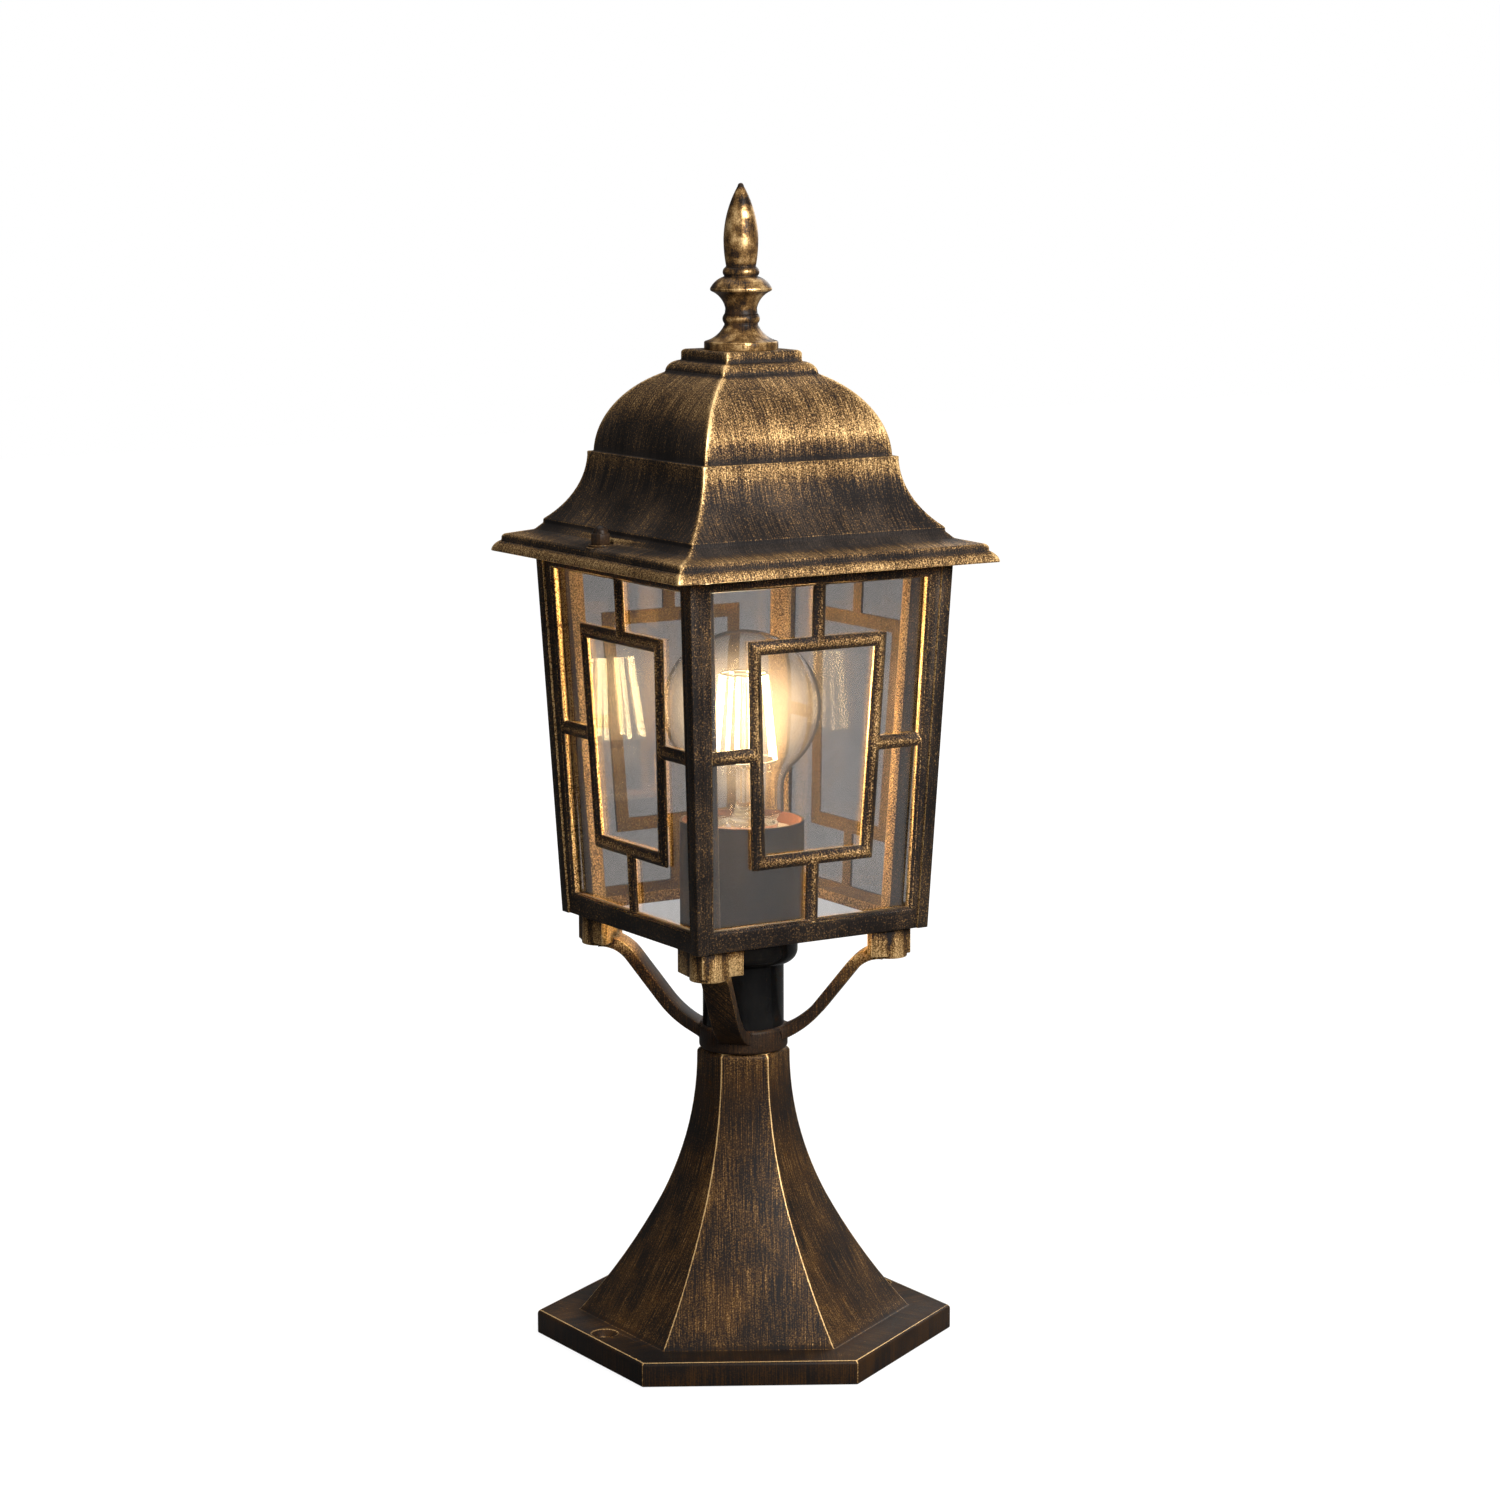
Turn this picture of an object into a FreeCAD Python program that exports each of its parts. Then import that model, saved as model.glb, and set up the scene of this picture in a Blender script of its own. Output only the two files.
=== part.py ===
import FreeCAD, Part
import math
import os
import re
import Sketcher

# Garden post light: a square glazed lantern on a spider bracket and a flared hexagonal pedestal.
# Millimetres. +Z is up and the origin is the middle of the pedestal's underside.
# The lantern's faces look along X and Y, and two of the pedestal's flats look along X.

SIZES = {
    # Pedestal: a hollow casting with a hexagonal flange and a flared hexagonal column
    "base_flats": 143,
    "base_thickness": 9.5,
    "base_edge_radius": 1.5,
    "base_plate": 4,
    "base_rim": 4,
    "flange_width": 14.5,
    "waist_flats": 57.2,
    "waist_height": 56,
    "column_top_flats": 32,
    "pedestal_height": 116.5,
    "lower_flare_radius": 256,
    "upper_flare_radius": 140,
    "crown_radius": 2,
    "column_wall": 4,
    "pedestal_crown": 6,
    "fixing_edge": 0.3,
    "fixing_hole": 5.5,
    "fixing_rim": 10.5,
    "fixing_boss": 14,
    # Bracket: hub, four S-shaped arms and four pads
    "bracket_height": 51,
    "hub_diameter": 35,
    "hub_height": 9.5,
    "hub_edge_radius": 1.5,
    "arm_width": 11,
    "arm_thickness": 4.6,
    "arm_root_lift": 0.8,
    "arm_slope": 51.8,
    "arm_end_radius": 16,
    "arm_end_inset": 1.4,
    "arm_end_drop": 10,
    "arm_web_inset": 1,
    "arm_root_fillet": 10,
    "arm_end_fillet": 20,
    "arm_end_flare": 9,
    "pad_inset": 4.7,
    "pad_width": 18.5,
    "pad_end": 3,
    "pad_height": 10.5,
    "boss_diameter": 14.2,
    "boss_drop": 1.5,
    # Screws that hold the cage on the bracket
    "screw_diameter": 3.9,
    "screw_reach": 20,
    "screw_head_diameter": 7.4,
    "screw_head_height": 2.6,
    "screw_counterbore": 3.4,
    # Cage: a tapered square casting
    "cage_height": 147.5,
    "cage_bottom_half": 52.2,
    "cage_top_half": 59.05,
    "cage_wall": 4.2,
    "post_width": 4.8,
    "frame_recess": 1,
    "frame_bevel": 1.2,
    "bottom_rail": 8.5,
    "top_rail": 10,
    "stile_bottom": 8.2,
    "stile_top": 10.75,
    # Bars on every face of the cage: a rectangle and four short links to the frame
    "ring_rise": 29.8,
    "ring_drop": 29.7,
    "ring_bottom_inset": 17,
    "ring_top_inset": 17.4,
    "bar_width": 5.4,
    "bar_ridge": 0.6,
    "bar_front": 1.3,
    "bar_side": 2.6,
    "bar_back_inset": 0.3,
    "link_rise": 74.6,
    # Screw pillars and lugs inside the cage
    "pillar_diameter": 8.6,
    "pillar_top_gap": 9,
    "lug_height": 4.5,
    "lug_bite": 1,
    # Glass panes
    "pane_thickness": 2,
    "pane_gap": 0.2,
    "pane_top_gap": 3,
    # Roof: a hollow casting, heights above its seat on the cage
    "eave_overhang": 12.65,
    "eave_drop": 4.2,
    "eave_wall": 4.5,
    "eave_fascia": 0.6,
    "lip_inset": 3,
    "lip_rise": 0.2,
    "lip_height": 1,
    "lip_radius": 1.7,
    "lip_ovolo_radius": 5.2,
    "flange_inner_set": 0.15,
    "flange_inner_rise": 4.7,
    "nose_inset": 2.45,
    "nose_rise": 7.4,
    "nose_height": 1.5,
    "flare_foot_inset": 3.05,
    "flare_foot_step": 0.5,
    "flare_radius": 35.4,
    "ledge_half": 43.8,
    "ledge_rise": 33.8,
    "ledge_height": 2,
    "ledge_step": 1.8,
    "dome_radius": 36,
    "dome_top_rise": 66.9,
    "ovolo_half": 21.5,
    "ovolo_radius": 4.6,
    "plate_half": 17,
    "ovolo_height": 4.6,
    "plate_height": 4.3,
    "plate_edge_radius": 1.5,
    "roof_wall": 3,
    "roof_crown": 5,
    # Roof fixings on the left and right
    "stud_lug_gap": 0.2,
    "stud_diameter": 4,
    "stud_tip_gap": 0.4,
    "stud_lug_width": 11,
    "stud_lug_height": 4.3,
    "roof_boss_rim": 0.7,
    "roof_boss_rise": 3.3,
    "washer_diameter": 9.6,
    "washer_thickness": 0.9,
    "nut_flats": 7,
    "nut_hex_height": 4.2,
    "nut_dome_diameter": 6,
    "nut_bore_depth": 5.4,
    # Finial, heights above its foot
    "finial_foot_diameter": 28.6,
    "finial_foot_height": 3.1,
    "finial_stem_top_rise": 9.8,
    "finial_stem_diameter": 12.7,
    "finial_stem_flare_radius": 11,
    "lower_ring_diameter": 14.4,
    "lower_ring_height": 3.8,
    "finial_waist_diameter": 12.2,
    "finial_waist_rise": 15.6,
    "disc_diameter": 23.8,
    "disc_rise": 22.4,
    "disc_edge": 0.9,
    "disc_cove_radius": 9,
    "disc_top_diameter": 12.6,
    "disc_top_rise": 27.9,
    "disc_crown_radius": 9,
    "upper_ring_diameter": 14.6,
    "upper_ring_height": 3.6,
    "bud_foot_diameter": 11.4,
    "bud_diameter": 13.4,
    "bud_belly_rise": 42,
    "bud_belly_radius": 56,
    "bud_taper_radius": 43,
    "bud_nose_radius": 1.2,
    "finial_height": 63.3,
    # Finial stud, washer and nut under the roof
    "finial_stud_diameter": 6,
    "finial_stud_up": 14,
    "finial_stud_down": 8,
    "finial_washer_diameter": 16,
    "finial_washer_thickness": 1.6,
    "finial_nut_flats": 10,
    "finial_nut_height": 5,
    # Hollow threaded rod through pedestal, bracket and lampholder neck
    "nipple_diameter": 10,
    "nipple_bore": 7,
    "nipple_below": 10,
    "nipple_above": 9,
    "nipple_washer_diameter": 18,
    "nipple_washer_thickness": 1.2,
    "nipple_nut_flats": 14,
    "nipple_nut_height": 5,
    # Lampholder
    "neck_diameter": 32,
    "neck_shoulder_rise": 25,
    "neck_height": 35,
    "neck_ledge": 0.5,
    "neck_shoulder_radius": 5,
    "neck_wall": 2.5,
    "neck_floor": 6,
    "sleeve_diameter": 47,
    "sleeve_height": 46.6,
    "sleeve_wall": 1.2,
    "sleeve_hole": 29,
    "core_diameter": 39,
    "core_height": 41.5,
    "core_floor": 13,
    "core_foot_gap": 0.5,
    "core_foot_height": 6,
    "shell_diameter": 29,
    "shell_wall": 1,
    "shell_height": 24,
    "shell_tab_width": 6,
    "contact_width": 8,
    "contact_thickness": 0.8,
    "contact_spring": 2.2,
    "contact_end": 3,
    "contact_bend": 5,
    "contact_ramp": 2,
    "contact_tip": 4,
    "contact_apart": 1.5,
    "rivet_offset": 8,
    "rivet_diameter": 3,
    "rivet_head_diameter": 4.6,
    "rivet_head_height": 0.9,
    "rivet_bite": 3,
    "terminal_width": 5,
    "terminal_depth": 7,
    "terminal_height": 8,
    "terminal_screw_rise": 2.4,
    "terminal_screw_diameter": 2.6,
    "terminal_head_diameter": 4,
    "terminal_head_height": 1,
    "wire_hole": 2.6,
    "wire_hole_depth": 4.5,
    # Bulb, heights above its bottom contact
    "bulb_radius": 30,
    "bulb_centre_rise": 74,
    "bulb_neck_diameter": 31,
    "bulb_neck_fillet": 12,
    "bulb_wall": 0.9,
    "bulb_throat_rise": 33,
    "bulb_seal_gap": 0.4,
    "bulb_seal_rise": 24.5,
    "bulb_seal_height": 4.5,
    "bulb_contact_diameter": 9.4,
    "bulb_contact_height": 1.2,
    "insulator_tip_diameter": 11,
    "insulator_inset": 1.2,
    "insulator_height": 4.6,
    "bulb_cap_gap": 0.3,
    "bulb_cap_wall": 0.5,
    "bulb_cap_lip": 1,
    "bulb_cap_height": 22.4,
    "bulb_stem_foot_height": 1.5,
    "bulb_stem_bend_radius": 12,
    "bulb_stem_bend_height": 12,
    "bulb_stem_rod_diameter": 6.4,
    "bulb_stem_height": 25,
    "filament_count": 8,
    "filament_diameter": 1.8,
    "filament_lift": 3.5,
    "filament_length": 34,
    "filament_bottom_spread": 12.5,
    "filament_top_spread": 9,
    "lead_diameter": 0.8,
    # Clearances
    "bolt_clearance": 0.15,
    "seat_gap": 0.1,
    "cut_margin": 1,
}

doc = FreeCAD.newDocument("GardenPostLight")
sheet = doc.addObject("Spreadsheet::Sheet", "Sizes")
for row, (alias, number) in enumerate(SIZES.items(), start=1):
    sheet.set(f"A{row}", alias)
    sheet.set(f"B{row}", str(number))
    sheet.setAlias(f"B{row}", alias)
doc.recompute()

ALIASES = re.compile(r"\b(" + "|".join(SIZES) + r")\b")
Z_AXIS = FreeCAD.Vector(0, 0, 1)
QUARTER_TURNS = (0, 90, 180, 270)
CORNERS = ((-1, -1), (1, -1), (1, 1), (-1, 1))

# Levels, sizes and places that several pieces share
HUB_TOP = "(pedestal_height + hub_height)"
CAGE_FLOOR = "(pedestal_height + bracket_height)"
ROOF_SEAT = "(pedestal_height + bracket_height + cage_height)"
PLATE_RISE = "(dome_top_rise + ovolo_height)"
FINIAL_SEAT = f"({ROOF_SEAT} + {PLATE_RISE} + plate_height)"
FIXING_PLACE = "(base_flats / 2 - fixing_edge - fixing_boss / 2)"
CAGE_TAPER = "((cage_top_half - cage_bottom_half) / cage_height)"
CAGE_TILT = f"atan({CAGE_TAPER})"
FACE_LENGTH = f"(cage_height / cos({CAGE_TILT}))"
PILLAR_INSET = "(cage_wall + pane_thickness + 2 * pane_gap + pillar_diameter / 2)"
SCREW_PLACE = f"(cage_bottom_half - {PILLAR_INSET})"
EAVE_HALF = "(cage_top_half + eave_overhang)"
LUG_END = f"({EAVE_HALF} - eave_wall - stud_lug_gap)"
STUD_PLACE = f"((cage_top_half + {LUG_END}) / 2)"
SLEEVE_FLOOR = f"({HUB_TOP} + neck_height)"
CORE_FLOOR = f"({SLEEVE_FLOOR} + sleeve_wall)"
CORE_FOOT = f"({CORE_FLOOR} - core_foot_height)"
SOCKET_FLOOR = f"({CORE_FLOOR} + core_floor)"
BULB_TIP = f"({SOCKET_FLOOR} + contact_thickness + contact_spring)"
BULB_CAP = "(shell_diameter - 2 * shell_wall - 2 * bulb_cap_gap)"
BULB_SEAL = f"({BULB_CAP} / 2 - bulb_cap_wall - bulb_seal_gap)"
FILAMENT_LOW = f"({BULB_TIP} + bulb_seal_rise + bulb_stem_height + filament_lift)"
FILAMENT_HIGH = f"({FILAMENT_LOW} + filament_length)"


def above(level, rise):
    return f"({level} + {rise})"


def tied(expression):
    """An expression in the names of the sizes, as the sheet's cells are addressed."""
    return ALIASES.sub(r"Sizes.\1", str(expression))


def value(expression):
    return float(sheet.evalExpression(tied(expression)))


def bind(item, **expressions):
    """Ties properties to the sheet. A double underscore in a name stands for a dot."""
    for path, expression in expressions.items():
        item.setExpression(path.replace("__", "."), tied(expression))
    return item


def place(item, x="0", y="0", z="0"):
    return bind(item, Placement__Base__x=x, Placement__Base__y=y, Placement__Base__z=z)


def turned(item, degrees):
    item.Placement.Rotation = FreeCAD.Rotation(Z_AXIS, degrees)
    return item


def new_body(name):
    body = doc.addObject("PartDesign::Body", name)
    body.AllowCompound = True
    return body


def origin_item(body, role):
    return next(item for item in body.Origin.OriginFeatures if item.Role == role)


def new_sketch(body, name, role="XZ_Plane", lift="0"):
    """A sketch on one of the body's own planes, or lifted off it along the plane's normal."""
    sketch = body.newObject("Sketcher::SketchObject", name)
    sketch.AttachmentSupport = [(origin_item(body, role), "")]
    sketch.MapMode = "FlatFace"
    return bind(sketch, AttachmentOffset__Base__z=lift)


def arc_between(here, there, radius):
    """The short arc between two points: its centre lies left of the way for a positive radius."""
    way = there - here
    left = FreeCAD.Vector(-way.y, way.x, 0).normalize()
    height = math.sqrt(radius**2 - (way.Length / 2) ** 2)
    centre = (here + there) * 0.5 + left * math.copysign(height, radius)
    first, last = (here, there) if radius > 0 else (there, here)
    angles = [math.atan2(end.y - centre.y, end.x - centre.x) for end in (first, last)]
    return Part.ArcOfCircle(Part.Circle(centre, Z_AXIS, abs(radius)), *angles)


def constrain(sketch, kind, where, expression):
    index = sketch.addConstraint(Sketcher.Constraint(kind, *where, value(expression)))
    sketch.setExpression(f"Constraints[{index}]", tied(expression))


def outline(sketch, corners):
    """A closed outline. A corner is (x, y), or (x, y, radius) where an arc leads on to the next."""
    spots = [FreeCAD.Vector(value(corner[0]), value(corner[1]), 0) for corner in corners]
    pieces = []
    for index, corner in enumerate(corners):
        here, there = spots[index], spots[(index + 1) % len(spots)]
        if len(corner) == 2:
            pieces.append((sketch.addGeometry(Part.LineSegment(here, there)), 1, 2))
            continue
        radius = value(corner[2])
        curve = sketch.addGeometry(arc_between(here, there, radius))
        pieces.append((curve, 1, 2) if radius > 0 else (curve, 2, 1))
        constrain(sketch, "Radius", (curve,), f"abs({corner[2]})")
    for index, corner in enumerate(corners):
        piece, start, _ = pieces[index]
        before, _, end = pieces[index - 1]
        sketch.addConstraint(Sketcher.Constraint("Coincident", before, end, piece, start))
        constrain(sketch, "DistanceX", (-1, 1, piece, start), corner[0])
        constrain(sketch, "DistanceY", (-1, 1, piece, start), corner[1])
    return sketch


def circle(sketch, x, y, diameter):
    centre = FreeCAD.Vector(value(x), value(y), 0)
    index = sketch.addGeometry(Part.Circle(centre, Z_AXIS, value(diameter) / 2))
    constrain(sketch, "DistanceX", (-1, 1, index, 3), x)
    constrain(sketch, "DistanceY", (-1, 1, index, 3), y)
    constrain(sketch, "Diameter", (index,), diameter)
    return sketch


def box_corners(low_x, low_y, high_x, high_y):
    return [(low_x, low_y), (high_x, low_y), (high_x, high_y), (low_x, high_y)]


def both_sides(half):
    """The right half of an outline, from bottom to top, closed with its mirror image in x = 0."""
    bends = [corner[2:] for corner in half]
    closed = list(half)
    last = len(half) - 1
    if half[last][0] == "0":
        closed[last] = half[last][:2] + bends[last - 1]
        last -= 1
    for index in range(last, -1, -1):
        if index or half[0][0] != "0":
            bend = bends[index - 1] if index else ()
            closed.append((f"-({half[index][0]})", half[index][1]) + bend)
    return closed


def pad(body, sketch, length, side_type="One side", back=False):
    feature = body.newObject("PartDesign::Pad", f"{sketch.Name}Pad")
    feature.Profile = sketch
    feature.SideType = side_type
    feature.Reversed = back
    bind(feature, Length=length)
    return feature


def pocket(body, sketch, depth, back=False):
    feature = body.newObject("PartDesign::Pocket", f"{sketch.Name}Pocket")
    feature.Profile = sketch
    feature.Reversed = back
    bind(feature, Length=depth)
    return feature


def loft(body, first, last, kind="Additive"):
    feature = body.newObject(f"PartDesign::{kind}Loft", f"{first.Name}Loft")
    feature.Profile = first
    feature.Sections = [last]
    feature.Ruled = True
    return feature


def revolved(name, corners):
    """A turned piece from its half section, (radius, height) corners."""
    body = new_body(name)
    sketch = outline(new_sketch(body, f"{name}Section"), corners)
    feature = body.newObject("PartDesign::Revolution", f"{name}Turn")
    feature.Profile = sketch
    feature.ReferenceAxis = (sketch, ["V_Axis"])
    feature.Angle = 360
    return body


def prism(name, corners, length, role="XZ_Plane"):
    """An outline given a thickness, half on either side of its plane."""
    body = new_body(name)
    pad(body, outline(new_sketch(body, f"{name}Outline", role), corners), length, "Symmetric")
    return body


def cylinder(name, diameter, height, x="0", y="0", z="0"):
    item = doc.addObject("Part::Cylinder", name)
    return place(bind(item, Radius=f"({diameter}) / 2", Height=height), x, y, z)


def hexagon(name, flats, height, z="0"):
    item = doc.addObject("Part::Prism", name)
    item.Polygon = 6
    return place(bind(item, Circumradius=f"({flats}) / sqrt(3)", Height=height), z=z)


def fuse(name, *items):
    item = doc.addObject("Part::MultiFuse", name)
    item.Shapes = list(items)
    return item


def common(name, first, *others):
    for index, other in enumerate(others):
        item = doc.addObject("Part::Common", f"{name}{index}")
        item.Base, item.Tool = first, other
        first = item
    return first


def cut(name, base, *tools):
    item = doc.addObject("Part::Cut", name)
    item.Base = base
    item.Tool = tools[0] if len(tools) == 1 else fuse(f"{name}Tools", *tools)
    return item


def group(name, items):
    item = doc.addObject("Part::Compound", name)
    item.Links = list(items)
    return item


def ring_section(bore, diameter, low, high):
    """Half section of a plain ring or washer."""
    return box_corners(f"({bore}) / 2", low, f"({diameter}) / 2", high)


def make_pedestal():
    """Three flared prisms in common make the hexagon, three smaller ones its hollow."""
    outer_half = both_sides([
        ("base_flats / 2", "0"),
        ("base_flats / 2", "base_thickness - base_edge_radius", "base_edge_radius"),
        ("base_flats / 2 - base_edge_radius", "base_thickness"),
        ("base_flats / 2 - flange_width", "base_thickness", "-lower_flare_radius"),
        ("waist_flats / 2", "waist_height", "-upper_flare_radius"),
        ("column_top_flats / 2", "pedestal_height - crown_radius", "crown_radius"),
        ("column_top_flats / 2 - crown_radius", "pedestal_height"),
    ])
    plate_low = "base_thickness - base_plate"
    hollow_half = both_sides([
        ("base_flats / 2 - base_rim", "-cut_margin"),
        ("base_flats / 2 - base_rim", plate_low),
        ("base_flats / 2 - flange_width - column_wall", plate_low, "-(lower_flare_radius + column_wall)"),
        ("waist_flats / 2 - column_wall", "waist_height", "-(upper_flare_radius + column_wall)"),
        ("column_top_flats / 2 - column_wall", "pedestal_height - pedestal_crown"),
    ])
    forms = []
    for name, half in (("PedestalForm", outer_half), ("PedestalHollow", hollow_half)):
        prisms = [turned(prism(f"{name}{turn}", half, "2 * base_flats"), turn) for turn in (0, 60, 120)]
        forms.append(common(f"{name}Common", *prisms))
    bosses = []
    holes = [cylinder("NippleWay", "nipple_diameter + 2 * bolt_clearance", "pedestal_height")]
    for side in (-1, 1):
        where = f"{side} * {FIXING_PLACE}"
        bosses.append(cylinder("FixingBoss", "fixing_boss", "base_thickness - base_plate / 2", where))
        holes.append(cylinder("FixingHole", "fixing_hole", "base_thickness", where))
        rim = doc.addObject("Part::Cone", "FixingRim")
        rim_depth = "(fixing_rim - fixing_hole) / 2"
        bind(rim, Radius1="fixing_hole / 2", Radius2="fixing_rim / 2", Height=rim_depth)
        holes.append(place(rim, where, z=f"base_thickness - {rim_depth}"))
    shell = cut("PedestalShell", *forms)
    return cut("Pedestal", fuse("PedestalBossed", shell, *bosses), *holes)


def make_yoke(name, turn):
    """One arm to either side of the hub: its curve seen from the side, in common with its plan."""
    reach = f"({SCREW_PLACE} * sqrt(2) - arm_end_inset)"
    climb = "(bracket_height - arm_end_drop - arm_root_lift - arm_thickness / 2)"
    bends = f"(({reach} * sin(arm_slope) - {climb} * cos(arm_slope)) / (1 - cos(arm_slope)))"
    root_radius = f"({bends} - arm_end_radius)"
    root_centre = f"(pedestal_height + arm_root_lift + arm_thickness / 2 + {root_radius})"
    end_centre = f"({CAGE_FLOOR} - arm_end_drop - arm_end_radius)"
    wide, narrow = f"({root_radius} + arm_thickness / 2)", f"({root_radius} - arm_thickness / 2)"
    outer, inner = "(arm_end_radius + arm_thickness / 2)", "(arm_end_radius - arm_thickness / 2)"
    side_half = [
        ("0", f"{root_centre} - {wide}", wide),
        (f"{wide} * sin(arm_slope)", f"{root_centre} - {wide} * cos(arm_slope)"),
        (f"{reach} - {inner} * sin(arm_slope)", f"{end_centre} + {inner} * cos(arm_slope)", f"-{inner}"),
        (reach, f"{end_centre} + {inner}"),
        (reach, f"{end_centre} + {outer}", outer),
        (f"{reach} - {outer} * sin(arm_slope)", f"{end_centre} + {outer} * cos(arm_slope)"),
        (f"{narrow} * sin(arm_slope)", f"{root_centre} - {narrow} * cos(arm_slope)", f"-{narrow}"),
        ("0", f"{root_centre} - {narrow}"),
    ]
    web = "((hub_diameter / 2 - arm_web_inset) / sqrt(2))"
    root = f"({web} + sqrt(arm_root_fillet ^ 2 - (arm_width / 2 + arm_root_fillet - {web}) ^ 2))"
    plan_half = [
        (web, f"-{web}", "-arm_root_fillet"),
        (root, "-arm_width / 2"),
        (f"{reach} - arm_end_flare", "-arm_width / 2", "-arm_end_fillet"),
        (reach, "-boss_diameter / 2"),
        (reach, "boss_diameter / 2", "-arm_end_fillet"),
        (f"{reach} - arm_end_flare", "arm_width / 2"),
        (root, "arm_width / 2", "-arm_root_fillet"),
        (web, web),
    ]
    side = prism(f"{name}Side", both_sides(side_half), "2 * hub_diameter")
    plan = prism(f"{name}Plan", both_sides(plan_half), f"2 * {CAGE_FLOOR}", "XY_Plane")
    return common(f"{name}Arms", turned(side, turn), turned(plan, turn))


def make_bracket():
    hub = revolved("Hub", [
        ("nipple_diameter / 2 + bolt_clearance", "pedestal_height"),
        ("hub_diameter / 2 - hub_edge_radius", "pedestal_height", "hub_edge_radius"),
        ("hub_diameter / 2", "pedestal_height + hub_edge_radius"),
        ("hub_diameter / 2", f"{HUB_TOP} - hub_edge_radius", "hub_edge_radius"),
        ("hub_diameter / 2 - hub_edge_radius", HUB_TOP),
        ("nipple_diameter / 2 + bolt_clearance", HUB_TOP),
    ])
    pads = new_body("Pads")
    plan = new_sketch(pads, "PadPlan", "XY_Plane", f"{CAGE_FLOOR} - pad_height")
    bosses = []
    holes = [cylinder("HubBore", "nipple_diameter + 2 * bolt_clearance", HUB_TOP)]
    boss_floor = f"({CAGE_FLOOR} - pad_height - boss_drop)"
    for x, y in CORNERS:
        near, far = "(cage_bottom_half - pad_inset - pad_width)", "(cage_bottom_half - pad_inset)"
        end = f"({near} + pad_width - pad_end)"
        corners = [(far, near), (far, far), (near, far), (near, end), (end, near)]
        outline(plan, [(f"{x} * {across}", f"{y} * {along}") for across, along in corners])
        at_screw = (f"{x} * {SCREW_PLACE}", f"{y} * {SCREW_PLACE}")
        bosses.append(cylinder("PadBoss", "boss_diameter", "pad_height + boss_drop", *at_screw, boss_floor))
        holes.append(cylinder("ScrewWay", "screw_diameter + 2 * bolt_clearance", CAGE_FLOOR, *at_screw))
        holes.append(cylinder("ScrewRecess", "screw_head_diameter + 4 * bolt_clearance",
                              f"{boss_floor} + screw_counterbore", *at_screw))
    pad(pads, plan, "pad_height")
    yokes = [make_yoke("YokeA", 45), make_yoke("YokeB", 135)]
    return cut("Bracket", fuse("BracketForm", hub, pads, *yokes, *bosses), *holes)


def make_bracket_screws():
    seat = f"({CAGE_FLOOR} - pad_height - boss_drop + screw_counterbore)"
    screws = []
    for x, y in CORNERS:
        screw = revolved("BracketScrew", [
            ("0", f"{seat} - screw_head_height"),
            ("screw_head_diameter / 2", f"{seat} - screw_head_height"),
            ("screw_head_diameter / 2", seat),
            ("screw_diameter / 2", seat),
            ("screw_diameter / 2", f"{seat} + screw_reach"),
            ("0", f"{seat} + screw_reach"),
        ])
        screws.append(place(screw, f"{x} * {SCREW_PLACE}", f"{y} * {SCREW_PLACE}"))
    return group("BracketScrews", screws)


def face_sketch(body, name, depth):
    """A sketch that leans with the cage's front face, the given depth behind it."""
    sketch = new_sketch(body, name)
    sketch.AttachmentOffset.Rotation = FreeCAD.Rotation(FreeCAD.Vector(1, 0, 0), value(CAGE_TILT))
    return bind(
        sketch,
        AttachmentOffset__Base__y=f"{CAGE_FLOOR} + ({depth}) * sin({CAGE_TILT})",
        AttachmentOffset__Base__z=f"cage_bottom_half - ({depth}) * cos({CAGE_TILT})",
        AttachmentOffset__Rotation__Angle=CAGE_TILT,
    )


def trapezoid(low_half, low, high_half, high):
    return [(f"-({low_half})", low), (low_half, low), (high_half, high), (f"-({high_half})", high)]


def square_sketch(body, name, half, lift):
    sketch = new_sketch(body, name, "XY_Plane", lift)
    return outline(sketch, box_corners(f"-({half})", f"-({half})", half, half))


def make_frame(body):
    """Corner posts, recessed frame and bevelled opening of one face."""
    past_top = f"({FACE_LENGTH} + cut_margin)"
    recess = outline(face_sketch(body, "FrameRecess", "0"), trapezoid(
        f"cage_bottom_half - post_width - {CAGE_TAPER} * cut_margin", "-cut_margin",
        f"cage_top_half - post_width + {CAGE_TAPER} * cut_margin", past_top))
    opening_top = f"({FACE_LENGTH} - top_rail)"
    bottom_half, top_half = "(cage_bottom_half - stile_bottom)", "(cage_top_half - stile_top)"
    clear = trapezoid(bottom_half, "bottom_rail", top_half, opening_top)
    bevelled = trapezoid(f"{bottom_half} + frame_bevel", "bottom_rail - frame_bevel",
                         f"{top_half} + frame_bevel", f"{opening_top} + frame_bevel")
    opening = outline(face_sketch(body, "Opening", "0"), clear)
    bevel_front = outline(face_sketch(body, "BevelFront", "frame_recess"), bevelled)
    bevel_back = outline(face_sketch(body, "BevelBack", "frame_recess + frame_bevel"), clear)
    return [
        pocket(body, recess, "frame_recess"),
        pocket(body, opening, "cage_wall + cut_margin"),
        loft(body, bevel_front, bevel_back, "Subtractive"),
    ]


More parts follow.
